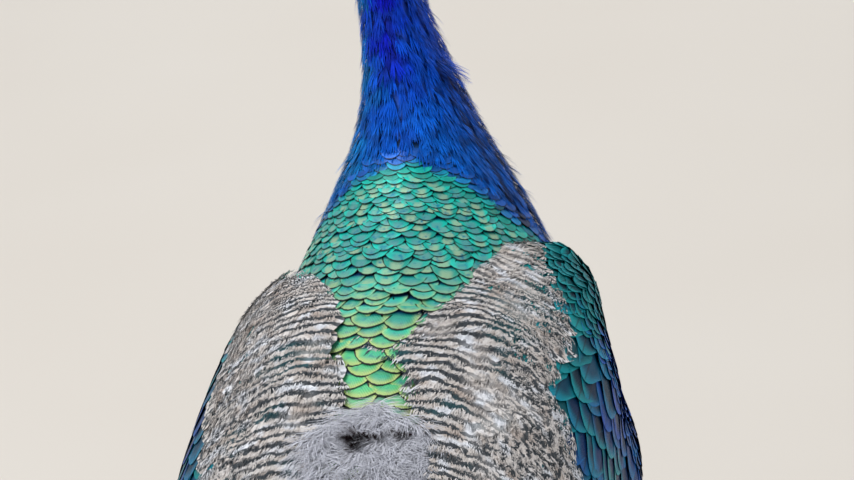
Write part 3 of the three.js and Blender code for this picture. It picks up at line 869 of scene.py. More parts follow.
@dataclass
class Studio:
    """Plain floor, soft lights, and the camera above and behind the bird, to its right."""

    azimuth: float = 12.0
    elevation: float = 22.0
    roll: float = -5.2
    distance: float = 2.0
    target: tuple = (-33.0, 60.0, 583.0)
    focal_px: float = 3700.0
    frame_px: float = 854.0

    def build(self, to_frame: Array) -> None:
        """Makes the floor, the lights and the camera."""
        self.floor()
        self.world()
        self.lamp("key", (1.5, 0.9, 3.4), 2.2, 95.0, to_frame)
        self.lamp("fill", (-2.6, 0.8, 1.8), 2.2, 22.0, to_frame)
        self.lamp("front", (0.4, -3.0, 2.2), 2.4, 36.0, to_frame)
        self.camera(to_frame)

    def floor(self) -> None:
        """A wide pale floor with a faint mottle."""
        half = 14.0
        mesh = bpy.data.meshes.new("floor")
        corners = [(-half, -half, 0), (half, -half, 0), (half, half, 0), (-half, half, 0)]
        mesh.from_pydata(corners, [], [(0, 1, 2, 3)])
        floor = placed("floor", mesh)
        g = Graph("pale_floor", Roughness=0.85)
        mesh.materials.append(g.finish(g.blend(g.noise(2.0), (206, 198, 188), (212, 206, 198))))
        floor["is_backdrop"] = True

    def world(self) -> None:
        """An even pale light from all round."""
        world = bpy.data.worlds.new("studio")
        world.use_nodes = True
        back = world.node_tree.nodes["Background"]
        back.inputs["Color"].default_value = (0.92, 0.96, 1.0, 1.0)
        back.inputs["Strength"].default_value = 0.5
        bpy.context.scene.world = world
        bpy.context.scene.view_settings.view_transform = "Standard"

    def lamp(self, name: str, at: tuple, size: float, watts: float, to_frame: Array) -> None:
        """A large square lamp that faces the bird."""
        light = bpy.data.lights.new(name, "AREA")
        light.size = size
        light.energy = watts
        made = placed(name, light)
        place = np.array(at) + to_frame
        aim = np.array([0, 0, 0.45]) + to_frame - place
        made.location = place
        made.rotation_mode = "QUATERNION"
        made.rotation_quaternion = Vector(aim).to_track_quat("-Z", "Y")

    def camera(self, to_frame: Array) -> None:
        """A long lens, turned and rolled about its line of sight."""
        data = bpy.data.cameras.new("camera")
        data.sensor_width = 36.0
        data.lens = self.focal_px / self.frame_px * data.sensor_width
        data.clip_end = 60.0
        cam = placed("camera", data)
        turn, lift = math.radians(self.azimuth), math.radians(self.elevation)
        away = np.array([-math.sin(turn) * math.cos(lift), math.cos(turn) * math.cos(lift), math.sin(lift)])
        cam.location = np.array(self.target) * MM + to_frame + away * self.distance
        cam.rotation_mode = "QUATERNION"
        look = Vector(-away).to_track_quat("-Z", "Y")
        cam.rotation_quaternion = look @ Matrix.Rotation(math.radians(self.roll), 3, "Z").to_quaternion()
        bpy.context.scene.camera = cam


# ---- the workshop


class Side(Enum):
    """Side of the bird, as the sign of its X."""

    LEFT = 1
    RIGHT = -1

    @property
    def word(self) -> str:
        """The side's name, as the nodes have it."""
        return self.name.lower()


@dataclass
class Workshop:
    """Makes the scene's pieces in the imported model's frame."""

    shift: Array
    made: list[str] = field(default_factory=list)

    def make(
        self,
        name: str,
        sheet: Sheet,
        material: Material,
        slot: str,
        *nodes: str,
        weld: bool = False,
    ) -> bpy.types.Object:
        """Makes one piece from a sheet.

        Args:
            name: the piece's name.
            sheet: its points, faces, maps and values.
            material: its finish.
            slot: the colour slot that it belongs to; not used.
            nodes: the CAD nodes that it replaces.
            weld: whether points that touch become one, and faces are turned outwards.

        Returns:
            The object.
        """
        mesh = bpy.data.meshes.new(name)
        count = len(sheet.faces)
        mesh.vertices.add(len(sheet.points))
        points = np.maximum(sheet.points, [-np.inf, -np.inf, LOWEST])
        mesh.vertices.foreach_set("co", (points * MM + self.shift).astype(np.float32).ravel())
        mesh.loops.add(count * 4)
        mesh.loops.foreach_set("vertex_index", sheet.faces.astype(np.int32).ravel())
        mesh.polygons.add(count)
        mesh.polygons.foreach_set("loop_start", np.arange(0, count * 4, 4, dtype=np.int32))
        mesh.update(calc_edges=True)
        mesh.validate()
        corners = sheet.faces.ravel()
        for title, values in (("OFBake", sheet.bake), ("vane", sheet.vane)):
            layer = mesh.uv_layers.new(name=title)
            layer.data.foreach_set("uv", values[corners].astype(np.float32).ravel())
        for title, values in sheet.values.items():
            self.store(mesh, title, values)
        if weld:
            self.weld(mesh)
        mesh.polygons.foreach_set("use_smooth", np.ones(len(mesh.polygons), dtype=bool))
        mesh.materials.append(material)
        return self.enter(placed(name, mesh), slot, *nodes)

    @staticmethod
    def store(mesh: bpy.types.Mesh, title: str, values: Array) -> None:
        """Keeps one number or one colour for each point of a mesh."""
        if values.ndim == 1:
            layer = mesh.attributes.new(title, "FLOAT", "POINT")
            layer.data.foreach_set("value", values.astype(np.float32))
            return
        layer = mesh.attributes.new(title, "FLOAT_COLOR", "POINT")
        rgba = np.concatenate([values, np.ones((len(values), 1))], axis=1)
        layer.data.foreach_set("color", rgba.astype(np.float32).ravel())

    @staticmethod
    def weld(mesh: bpy.types.Mesh) -> None:
        """Joins points that touch, and turns the faces outwards."""
        work = bmesh.new()
        work.from_mesh(mesh)
        bmesh.ops.remove_doubles(work, verts=work.verts, dist=TOUCHING)
        bmesh.ops.recalc_face_normals(work, faces=work.faces)
        work.to_mesh(mesh)
        work.free()

    def enter(self, piece: bpy.types.Object, slot: str, *nodes: str) -> bpy.types.Object:
        """Gives a piece its body, and hides the nodes that it replaces."""
        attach(piece, ROOT_BODY)
        if nodes:
            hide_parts(*nodes)
        self.made.append(piece.name)
        LOG.info("%s: %d faces", piece.name, len(piece.data.polygons))
        return piece


def tube(rings: Array, values: dict[str, Array] | None = None) -> Sheet:
    """A closed surface through rings of points, each end drawn together to its middle.

    Args:
        rings: points, as rings by points of a ring by three. A ring's first point isn't repeated.
        values: named numbers or colours, as rings by points of a ring.

    Returns:
        The surface, with its length along V and its girth along U on both maps.
    """

    def closed(block: Array, ends: bool) -> Array:
        """Rings joined to themselves, with one more at each end, drawn together for points."""
        block = np.concatenate([block, block[:, :1]], axis=1)
        first, last = block[:1], block[-1:]
        if ends:
            first = first * 0 + rings[0].mean(axis=0)
            last = last * 0 + rings[-1].mean(axis=0)
        return np.concatenate([first, block, last])

    points = closed(rings, True)
    rows, columns = points.shape[0] - 1, points.shape[1] - 1
    v, u = np.meshgrid(np.linspace(0, 1, rows + 1), np.linspace(0, 1, columns + 1), indexing="ij")
    uv = np.stack([u, v], axis=-1).reshape(-1, 2)
    kept = {name: closed(block, False) for name, block in (values or {}).items()}
    flat = {name: block.reshape(-1, *block.shape[2:]) for name, block in kept.items()}
    return Sheet(points.reshape(-1, 3), grid_faces(1, rows, columns), uv, uv * BAKE_SPAN + BAKE_FROM, flat)


def paint(sheet: Sheet, **values: Array) -> Sheet:
    """Gives every point of each feather, or of each fan of strips, the feather's own values."""
    for name, block in values.items():
        sheet.values[name] = np.repeat(block, len(sheet.points) // len(block), axis=0)
    return sheet


def fanned(roots: Roots, strips: int, splay: float, strip: float, rng: Random) -> Roots:
    """Each feather as a fan of narrow strips from one root: the outer ones are shorter.

    Args:
        roots: the feathers.
        strips: how many strips each becomes.
        splay: angle of the outermost strips, in radians.
        strip: width of a strip, in millimetres.
        rng: source of the scatter.

    Returns:
        The strips, those of each feather in turn.
    """
    n = len(roots) * strips
    fan = np.tile(np.linspace(-1, 1, strips), len(roots)) + rng.normal(0, 0.16, n)
    made = roots.repeated(strips)
    made.length = made.length * (1 - 0.22 * fan**2) * rng.normal(1, 0.08, n)
    made.width = strip * rng.normal(1, 0.15, n)
    made.turn = made.turn + fan * splay
    made.lift = made.lift + rng.normal(0, 0.35, n)
    made.seed = np.clip(made.seed + rng.normal(0, 0.1, n), 0, 1)
    return made


# ---- colours of the body


@dataclass(frozen=True)
class Plumage:
    """The colours of neck, trunk and thighs by their place, as linear colours."""

    royal: tuple = (0, 18, 186)
    blue: tuple = (0, 78, 212)
    cyan: tuple = (0, 140, 216)
    # painted sheen: the cyan of the neck's iridescence
    teal: tuple = (0, 126, 196)
    green: tuple = (0, 190, 172)
    lime: tuple = (90, 200, 90)
    dark: tuple = (6, 30, 34)
    down: tuple = (196, 192, 190)
    vent: tuple = (62, 50, 40)
    buff: tuple = (186, 164, 134)
    # painted shade in the folds of the neck's lower right side
    furrow: tuple = (2, 8, 28)
    edge_a: tuple = (-1.5, -1.34, -1.13, -0.95, -0.75, -0.5, -0.1, 0.3, 0.68, 0.85, 1.3)
    edge_s: tuple = (6.5, 6.29, 6.22, 6.09, 5.88, 5.69, 5.55, 5.62, 5.8, 6.05, 6.4)

    def edge(self, a: Array) -> Array:
        """Where the neck's blue ends and the mantle's green begins: lower at the sides."""
        return np.interp(a, self.edge_a, self.edge_s)

    def body(self, s: Array, a: Array) -> Array:
        """Colours at positions and angles of the body's form."""
        aside = np.abs(a)
        drift = 0.2 * np.sin(7 * s + 3 * a) + 0.15 * np.sin(17 * s - 5 * a)
        neck = mix(self.royal, self.blue, smooth(0.0, 0.8, aside + drift + 0.25 * (s - 3.6)))
        # painted sheen: the neck's iridescent cyan on its left side and the front of its right side, with
        # more teal there near the mantle
        front = np.maximum(smooth(0.4, 1.1, a + drift), smooth(1.8, 2.8, drift - a))
        neck = mix(neck, self.cyan, front * 0.8)
        neck = mix(neck, self.teal, smooth(3.8, 5.6, s) * (0.4 + 0.35 * front))
        # painted shade: dark lines in the folds of the neck's lower right side
        furrow = np.sin(a * 21 + 2.4 * s + 0.8 * np.sin(3 * s)) * smooth(3.8, 4.8, s) * smooth(0.55, 1.0, -a)
        furrow = furrow * smooth(6.8, 6.0, s) * smooth(2.2, 1.7, aside)
        neck = mix(neck, self.furrow, smooth(0.35, 0.9, furrow) * 0.9)
        breast = mix(neck, self.dark, smooth(6.6, 9.0, s))
        breast = mix(breast, self.vent, smooth(9.6, 10.8, s) * smooth(1.9, 2.4, aside))
        back = mix(self.green, self.lime, smooth(6.8, 8.2, s) * 0.7)
        back = mix(back, self.down, smooth(8.2, 8.6, s) * (1 - smooth(9.3, 10.0, s)))
        mantle = smooth(-0.06, 0.1, s - self.edge(a)) * (1 - smooth(1.3, 1.6, aside))
        return mix(breast, back, mantle)


# ---- skin and body coats


@dataclass
class SkinPiece:
    """One skin for head, neck, trunk, thighs and wings, which lies below the coat."""

    body: BodyForm
    head: HeadForm
    plumage: Plumage
    depth: tuple = (2.0, 2.0, 2.0, 2.1, 2.3, 2.6, 3.6, 5.0, 5.5, 6.0, 6.0, 6.0, 5.0, 5.0)
    head_depth: float = 1.3
    thigh_depth: float = 5.0
    wing_depth: float = 5.0
    wing_core: float = 7.0
    voxel: float = 2.4
    kept_share: float = 0.6
    below_wing: tuple = (120, 114, 108)

    def build(self, shop: Workshop) -> bpy.types.Object:
        """Joins the parts into one surface, and colours it by place."""
        sheet = Sheet.joined([tube(rings) for rings in self.lofts()])
        skin = shop.make("skin", sheet, self.finish(), "blue_plumage", *self.nodes(), weld=True)
        remesh = skin.modifiers.new("one_skin", "REMESH")
        remesh.mode = "VOXEL"
        remesh.voxel_size = self.voxel * MM
        calm = skin.modifiers.new("calm", "SMOOTH")
        calm.iterations = 6
        calm.factor = 0.5
        thin = skin.modifiers.new("thin", "DECIMATE")
        thin.ratio = self.kept_share
        view = skin.evaluated_get(bpy.context.evaluated_depsgraph_get())
        mesh = bpy.data.meshes.new_from_object(view)
        skin.modifiers.clear()
        skin.data = mesh
        mesh.materials.clear()
        mesh.materials.append(self.finish())
        co = np.empty(len(mesh.vertices) * 3, np.float32)
        mesh.vertices.foreach_get("co", co)
        points = (co.reshape(-1, 3).astype(float) - shop.shift) / MM
        shop.store(mesh, "coat", self.colours(points))
        s, a, _ = self.body.locate(points, 0.0)
        place = np.stack([(a / math.pi + 1) / 2, s / self.body.last], axis=-1) * BAKE_SPAN + BAKE_FROM
        loops = np.empty(len(mesh.loops), np.int32)
        mesh.loops.foreach_get("vertex_index", loops)
        mesh.uv_layers.new(name="OFBake").data.foreach_set("uv", place[loops].astype(np.float32).ravel())
        mesh.polygons.foreach_set("use_smooth", np.ones(len(mesh.polygons), dtype=bool))
        LOG.info("skin: %d faces after the remesh", len(mesh.polygons))
        return skin

    def nodes(self) -> list[str]:
        """The nodes of flesh."""
        pairs = [f"{part}_{side.word}" for part in ("thigh", "wing") for side in Side]
        return ["head", "neck_upper", "neck_lower", "trunk", *pairs]

    def lofts(self) -> list[Array]:
        """Rings of each part."""
        turn = np.linspace(-math.pi, math.pi, 49)[None, :-1]
        s = np.linspace(0.0, self.body.last - 0.02, 130)[:, None]
        here, _, _, normal = self.body.frame_at(s, turn)
        made = [here - normal * along(self.depth, s / self.body.last)[..., None]]
        s = np.linspace(0, 1, 40)[:, None]
        here, _, _, normal = self.head.frame_at(s, turn)
        made.append(here - normal * self.head_depth)
        for side in Side:
            limb = LimbForm(side.value)
            here, _, _, normal = limb.frame_at(np.linspace(0, 1, 40)[:, None], turn)
            made.append(here - normal * self.thigh_depth)
            wing = WingForm(side.value, self.body)
            s = np.linspace(0.02, 0.74, 60)[:, None]
            a = np.linspace(0.04, 0.96, 30)[None, :]
            here, _, _, normal = wing.frame_at(s, a)
            outer = here - normal * self.wing_depth
            inner = outer - normal * self.wing_core
            made.append(np.concatenate([outer, inner[:, ::-1]], axis=1))
        return made

    def colours(self, points: Array) -> Array:
        """Colours by place: the head's own, the thighs' buff, the wings' grey, and the body's."""
        s, a, out = self.body.locate(points, 0.0)
        made = self.plumage.body(s, a)
        made = mix(made, self.below_wing, (out > 1.0) & (s > 6.9) & (np.abs(a) < 2.0))
        low = (points[:, 2] < 300) & (out > 0.96)
        made = mix(made, self.plumage.buff, low)
        return HeadCoat(self.head).colours(points, made)

    def finish(self) -> Material:
        """Skin and the down next to it."""
        g = Graph("skin", Roughness=0.7)
        mottle = g.scaled(g.noise(400.0, 4.0), 0.8, 0.5)
        g.bump(g.noise(900.0, 3.0), 0.3)
        return g.finish(g.shade(g.tint("coat"), mottle))


@dataclass
class HeadCoat:
    """Small flat feathers of the head, and the place of its bare skin."""

    head: HeadForm
    crown: tuple = (0, 96, 150)
    throat: tuple = (10, 40, 150)
    cheek: tuple = (0, 110, 110)
    line: tuple = (8, 18, 40)
    bare_skin: tuple = (226, 222, 212)
    clear_of_eye: float = 7.4

    def local(self, points: Array) -> Array:
        """Points of the bird's frame, in the head's own."""
        angle = math.radians(self.head.turn)
        c, n = math.cos(angle), math.sin(angle)
        p = points - np.array(self.head.centre)
        return vector(c * p[..., 0] + n * p[..., 1], c * p[..., 1] - n * p[..., 0], p[..., 2])

    def bare(self, p: Array) -> Array:
        """1 on the bare skin above and below the eye, 0 elsewhere."""
        y, z = p[..., 1], p[..., 2]
        upper = ((y + 12) / 13) ** 2 + ((z - 11.5 + 0.012 * (y + 12) ** 2) / 2.8) ** 2
        lower = ((y + 11) / 14) ** 2 + ((z + 3.4) / 5.2) ** 2
        return np.maximum(1 - smooth(0.8, 1.05, upper), 1 - smooth(0.85, 1.1, lower))

    def colours(self, points: Array, others: Array) -> Array:
        """Colours of the head where points are on it, else the others."""
        p = self.local(points)
        y, z = p[..., 1], p[..., 2]
        made = mix(self.throat, self.crown, smooth(-2, 12, z))
        made = mix(made, self.cheek, smooth(0, 8, y) * smooth(10, 2, np.abs(z - 1)))
        made = mix(made, self.line, smooth(3.4, 2.2, np.abs(z - 4.4)) * smooth(14, 8, y))
        made = mix(made, self.bare_skin, self.bare(p))
        return mix(others, made, smooth(42, 34, np.linalg.norm(p * [1.5, 1, 1.2], axis=-1)))

    def build(self, shop: Workshop, material: Material, rng: Random) -> None:
        """Lays tiny feathers from the bill back to the nape."""
        roots = rows_of_roots(self.head, (0.03, 0.97), AROUND, (1.9, 1.7), (4.2, 2.3), rng, 0.3)
        here = self.head.point(roots.s, roots.a)
        p = self.local(here)
        eyes = [np.linalg.norm(p - np.array(EYE_AT) * [side.value, 1, 1], axis=-1) for side in Side]
        keep = (self.bare(p) < 0.12) & (np.minimum(*eyes) > self.clear_of_eye)
        roots = roots.only(keep)
        tints = self.colours(here, here * 0)[keep] * rng.uniform(0.7, 1.3, (len(roots), 1))
        roots.turn = roots.turn + np.sign(roots.a) * 0.9 * smooth(0.35, 0.85, roots.s)
        roots.length = roots.length * (1 + 1.1 * smooth(0.5, 0.95, roots.s))
        vane = Vane((0.5, 0.9, 1.0, 0.7), (-1.2, -0.5, 0.0), rows=4, columns=2, tip=0.3)
        sheet = paint(lay_vanes(self.head, roots, vane), coat=tints)
        shop.make("head_coat", sheet, material, "blue_plumage")


@dataclass
class BodyCoats:
    """Hair-like neck, scaly mantle, breast, belly, rump and down."""

    body: BodyForm
    plumage: Plumage
    rng: Random
    neck_ends: float = 6.9
    mantle_width: tuple = (1.45, 1.45, 1.2, 0.75, 0.5, 0.42, 0.42)
    rump_green: tuple = (70, 150, 84)
    pale_down: tuple = (214, 215, 224)
    dark_down: tuple = (70, 52, 54)
    # s, a, spread and number of tufts of each dark spot in the down
    dark_spots: tuple = ((8.95, 0.0, 0.035, 26), (9.03, 0.0, 0.02, 10), (8.87, -0.2, 0.02, 7))

    def build(self, shop: Workshop) -> None:
        """Makes every coat of the body."""
        silk = PlainCoat("neck_barbs", metallic=0.1, roughness=0.55, specular=0.12).build()
        soft = PlainCoat("soft_barbs", metallic=0.1, roughness=0.62, root_shade=0.5).build()
        self.neck(shop, silk)
        self.breast(shop, soft)
        self.mantle(shop)
        self.rump(shop)
        self.down(shop, PlainCoat("down_barbs", roughness=0.8, root_shade=0.85, barbs=2.0).build())

    def tufts(self, roots: Roots, strips: int, splay: float, strip: float, vane: Vane = BARB) -> Sheet:
        """Tufts with the plumage's colours, each a little darker or lighter."""
        shade = self.rng.uniform(0.62, 1.3, len(roots))
        tints = self.plumage.body(roots.s, roots.a) * shade[:, None]
        fans = fanned(roots, strips, splay, strip, self.rng)
        return paint(lay_vanes(self.body, fans, vane), coat=tints)

    def neck(self, shop: Workshop, material: Material) -> None:
        """Fine barbs that run down the neck, in two lengths."""
        roots = rows_of_roots(self.body, (-0.45, 3.6), AROUND, (3.7, 3.2), (12, 3), self.rng, 0.35)
        roots = self.loose(roots)
        throat = smooth(1.6, 2.5, np.abs(roots.a))
        roots.length = roots.length * (1 - 0.45 * throat * smooth(0.9, 0.2, roots.s))
        roots = roots.only(roots.s > -0.45 + 0.25 * throat)
        shop.make("neck_coat_upper", self.tufts(roots, 8, 0.22, 0.62), material, "blue_plumage")
        roots = rows_of_roots(self.body, (3.4, self.neck_ends), AROUND, (5.2, 4.8), (14, 4), self.rng, 0.3)
        keep = (roots.s < self.plumage.edge(roots.a) - 0.26) | (np.abs(roots.a) > 1.3)
        roots = self.loose(roots.only(keep))
        ruffled = (np.abs(roots.s - 4.4) < 0.1) & (np.abs(roots.a + 1.3) < 0.3)
        roots.lift = roots.lift + 6.0 * ruffled
        shop.make("neck_coat_lower", self.tufts(roots, 8, 0.3, 1.0), material, "blue_plumage")

    def loose(self, roots: Roots) -> Roots:
        """Lets a few of the tufts stand off a little."""
        stand_off = self.rng.uniform(1.0, 3.5, len(roots))
        roots.lift = roots.lift + stand_off * (self.rng.random(len(roots)) < 0.05)
        return roots

    def breast(self, shop: Workshop, material: Material) -> None:
        """Broader soft feathers under the trunk, out to below the wings."""
        around = (1.0, 2 * math.pi - 1.0)
        roots = rows_of_roots(self.body, (6.7, 12.9), around, (7.5, 7.0), (26, 6), self.rng, 0.3)
        shop.make("breast_coat", self.tufts(roots, 6, 0.26, 2.4), material, "blue_plumage")

    def mantle(self, shop: Workshop) -> None:
        """Overlapping scales from shoulder to shoulder, then larger ones between the wings."""
        stretches = (
            ((5.0, 5.95), (3.1, 9.0), (11, 15.0)),
            ((5.9, 6.45), (4.1, 9.6), (13, 16.0)),
            ((6.4, 7.2), (6.0, 11.0), (17, 19.0)),
            ((7.15, 8.75), (9.5, 14.0), (26, 24.0)),
        )
        sheets = []
        vane = Vane((0.5, 0.9, 1.0, 0.92, 0.8), (-3.0, -1.2, 0.3, 0.7), columns=6, tip=0.28, cup=0.04)
        for reach, spacing, size in stretches:
            roots = rows_of_roots(self.body, reach, (-1.45, 1.45), spacing, size, self.rng, 0.1)
            width = np.interp(roots.s, np.linspace(5.5, 8.8, len(self.mantle_width)), self.mantle_width)
            roots = roots.only((np.abs(roots.a) < width) & (roots.s > self.plumage.edge(roots.a) - 0.36))
            tints = self.plumage.body(roots.s + 0.2, roots.a)
            tints = tints * self.rng.uniform(0.6, 1.25, (len(roots), 1))
            low = smooth(6.3, 7.6, roots.s)
            high = smooth(0.06, -0.1, roots.s - self.plumage.edge(roots.a))
            sheets.append(paint(lay_vanes(self.body, roots, vane), coat=tints, low=low, high=high))
        shop.make("mantle", Sheet.joined(sheets), ScaleCoat().build(), "back_scales")

    def rump(self, shop: Workshop) -> None:
        """Bronze-green scales below the root of the train."""
        roots = rows_of_roots(self.body, (8.6, 12.9), (-1.2, 1.2), (9, 11), (22, 17), self.rng, 0.12)
        tints = linear(self.rump_green) * self.rng.uniform(0.7, 1.2, (len(roots), 1))
        vane = Vane(lift=(-5.0, -2.0, 0.0), rows=5, tip=0.34)
        sheet = paint(lay_vanes(self.body, roots, vane), coat=tints, low=np.ones(len(roots)))
        shop.make("rump", sheet, ScaleCoat("rump_scales").build(), "back_scales")

    def down(self, shop: Workshop, material: Material) -> None:
        """A loose tuft of grey-white down where the train begins."""
        roots = rows_of_roots(self.body, (8.5, 10.45), (-0.6, 0.6), (3.8, 3.6), (22, 5), self.rng, 0.4)
        roots.lift = roots.lift + self.rng.uniform(0, 5, len(roots))
        roots.turn = self.rng.normal(0, 0.5, len(roots))
        roots = roots.only((roots.s > 8.45 + np.abs(roots.a + 0.07)) & (roots.a > -0.46) & (roots.a < 0.28))
        groups, pale = [roots], len(roots)
        for s, a, spread, count in self.dark_spots:
            spot = roots.only(np.arange(pale) < count)
            spot.s = s + self.rng.normal(0, spread, count)
            spot.a = a + self.rng.normal(0, spread, count)
            spot.length, spot.lift = spot.length * 0.35, spot.lift + 3.0
            groups.append(spot)
        roots = Roots.joined(groups)
        fans = fanned(roots, 16, 0.6, 0.42, self.rng)
        tints = mix(self.pale_down, self.dark_down, np.arange(len(roots)) >= pale)
        tints = tints * self.rng.uniform(0.85, 1.08, (len(roots), 1))
        vane = replace(BARB, outline=(0.7, 1.0, 0.8, 0.3), lift=(1.5, 5.0, 8.0, 9.0))
        sheet = paint(lay_vanes(self.body, fans, vane), coat=tints)
        shop.make("down", sheet, material, "buff_down")


# ---- wings


@dataclass
class Wing:
    """A folded wing: barred scapulars and coverts, blue coverts, secondaries and primaries."""

    side: Side
    body: BodyForm
    rng: Random
    edge_s: tuple = (0.1, 0.16, 0.2, 0.25, 0.31, 0.36, 0.4, 0.43, 0.46, 0.52, 0.7)
    edge_a: tuple = (-0.24, -0.1, 0.05, 0.21, 0.34, 0.33, 0.33, 0.42, 0.5, 0.54, 0.62)
    inner_coverts: tuple = (0, 142, 142)
    outer_coverts: tuple = (0, 76, 172)
    lowest_coverts: tuple = (6, 34, 84)
    secondary: tuple = (0, 80, 110)
    primary: tuple = (136, 86, 54)
    tip_reach: float = 468.0
    form: WingForm = field(init=False)
    inner_y: tuple = field(init=False)
    inner_x: tuple = field(init=False)

    def __post_init__(self) -> None:
        """Shapes the wing over the trunk. The right scapulars lie further in than the left."""
        if self.side is Side.LEFT:
            self.form = WingForm(self.side.value, self.body, swollen=(0.0, 5.0))
            self.inner_y = (-80, -50, -27, -15, 0, 22, 48, 54, 58, 68, 81, 100, 120, 135, 152, 220)
            self.inner_x = (84, 68, 52, 41, 31, 28, 28, 27, 17, 14, 12, 9, 15, 20, 20, 20)
            self.edge_a = (0.5, 0.44, 0.38, 0.35, 0.36, 0.37, 0.37, 0.35, 0.34, 0.34, 0.5)
        else:
            self.form = WingForm(self.side.value, self.body, swollen=(13.0, 8.6))
            self.inner_y = (-80, -60, -45, -26, -17, -13, -9, 8, 18, 28,
                            44, 57, 65, 70, 100, 120, 133, 152, 220)
            self.inner_x = (-46, -42, -38, -27, -14, 0, 4, 9, 14, 17,
                            16, 12, 4, -13, -17, -29, -35, -38, -40)

    def lay(self, roots: Roots, vane: Vane, tint: Array) -> Sheet:
        """Feathers on the wing, each a little darker or lighter."""
        tints = tint * self.rng.uniform(0.75, 1.25, (len(roots), 1))
        return paint(lay_vanes(self.form, roots, vane, 0.02), coat=tints)

    def build(self, shop: Workshop, finishes: dict[str, Material]) -> None:
        """Makes the layers of feathers, from the lowest up."""
        self.quills(shop, finishes)
        self.coverts(shop, finishes["covert"])
        self.scapulars(shop, finishes["barred"])

    def outer_edge(self, s: Array) -> Array:
        """How far across the wing the barred feathers go: less at the shoulder."""
        return np.interp(s, self.edge_s, self.edge_a)

    def coverts(self, shop: Workshop, material: Material) -> None:
        """Blue-green coverts, from the shoulder back along the wing's outer side."""
        small = rows_of_roots(self.form, (0.0, 0.26), (-0.2, 1.0), (6.5, 8), (22, 15), self.rng, 0.16)
        large = rows_of_roots(self.form, (0.18, 0.62), (-0.2, 1.0), (14, 16), (46, 28), self.rng, 0.2)
        roots = Roots.joined([large.only(large.s > 0.2), small])
        roots = roots.only(roots.a > self.outer_edge(roots.s) - 0.1)
        roots.lift = roots.lift * 0.5
        vane = Vane((0.5, 0.9, 1.0, 0.95, 0.75), (-4.0, -1.6, -0.3), rows=8, columns=6, cup=0.03)
        drift = 0.25 * (self.rng.random(len(roots)) - 0.5)
        tint = mix(self.inner_coverts, self.outer_coverts, smooth(0.25, 0.6, roots.a + drift))
        tint = mix(tint, self.lowest_coverts, smooth(0.72, 0.9, roots.a + drift))
        tint = tint * (1.0 + 0.8 * smooth(0.3, 0.16, roots.s))[:, None]
        shop.make(f"blue_coverts_{self.side.word}", self.lay(roots, vane, tint), material, "barred_wing")

    def scapulars(self, shop: Workshop, material: Material) -> None:
        """Barred scapulars and coverts, whose inner edge leaves the mantle's strip in view."""
        roots = self.scapular_roots((10, 11), (30, 22))
        vane = Vane((0.6, 0.95, 1.0, 0.95, 0.75), (-2.2, -0.6, 0.0), rows=7, cup=0.03)
        sheet = self.barred(lay_vanes(self.form, roots, vane, 0.02), roots)
        shop.make(f"scapulars_{self.side.word}", sheet, material, "barred_wing")
        roots = self.scapular_roots((5.6, 5.2), (13, 4))
        roots.lift = roots.lift - 0.2
        fans = fanned(roots, 7, 0.36, 0.9, self.rng)
        vane = replace(BARB, outline=(0.8, 1.0, 0.8, 0.3), lift=(-1.2, 0.2, 0.9))
        sheet = self.barred(lay_vanes(self.form, fans, vane), fans)
        shop.make(f"scapular_barbs_{self.side.word}", sheet, material, "barred_wing")

    def scapular_roots(self, spacing: tuple, size: tuple) -> Roots:
        """Roots over the barred part of the wing."""
        roots = rows_of_roots(self.form, (0.06, 0.7), (-0.24, 0.7), spacing, size, self.rng, 0.2)
        here = self.form.point(roots.s, roots.a)
        covered = here[:, 1, None] + size[0] * np.array([0.0, 0.3, 0.6, 0.9])
        inner = np.max(np.interp(covered, self.inner_y, self.inner_x) * self.side.value, axis=1)
        far = here[:, 0] * self.side.value > inner + 2 + size[1] / 3
        return roots.only(far & (roots.a < self.outer_edge(roots.s)))

    def barred(self, sheet: Sheet, roots: Roots) -> Sheet:
        """Gives each point its place along and across the wing, for the bars."""
        sheet.values["lie"] = sheet.points[:, 1] + 0.45 * np.minimum(sheet.points[:, 1] - 20.0, 0)
        sheet.values["across"] = np.abs(sheet.points[:, 0]) + 400.0 * self.side.value
        each = len(sheet.points) // len(roots)
        sheet.values["wild"] = np.repeat(smooth(0.06, 0.34, roots.a), each)
        sheet.values["marked"] = np.repeat(0.25 + 0.75 * smooth(0.16, 0.34, roots.s + 0.3 * roots.a), each)
        return sheet

    def quills(self, shop: Workshop, finishes: dict[str, Material]) -> None:
        """Secondaries and primaries, which reach back past the trunk."""
        word = self.side.word
        vane = Vane((0.8, 1.0, 1.0, 0.95, 0.75), (-5.0, -3.0, -2.0), rows=10, tip=0.12)
        roots = rows_of_roots(self.form, (0.44, 0.66), (0.2, 0.95), (34, 17), (150, 30), self.rng, 0.08)
        sheet = self.lay(roots, vane, linear(self.secondary))
        shop.make(f"secondaries_{word}", sheet, finishes["dark"], "barred_wing")
        roots = rows_of_roots(self.form, (0.6, 0.72), (0.25, 1.0), (26, 13), (140, 24), self.rng, 0.06)
        end = np.linspace(0, 1, len(roots))
        roots.length = np.minimum(roots.length, (1.0 - roots.s) * self.tip_reach)
        sheet = self.lay(roots, vane, linear(self.primary) * (0.9 + 0.2 * end[:, None]))
        shop.make(f"primaries_{word}", sheet, finishes["rufous"], "rufous_primaries", f"primaries_{word}")


# ---- train and tail


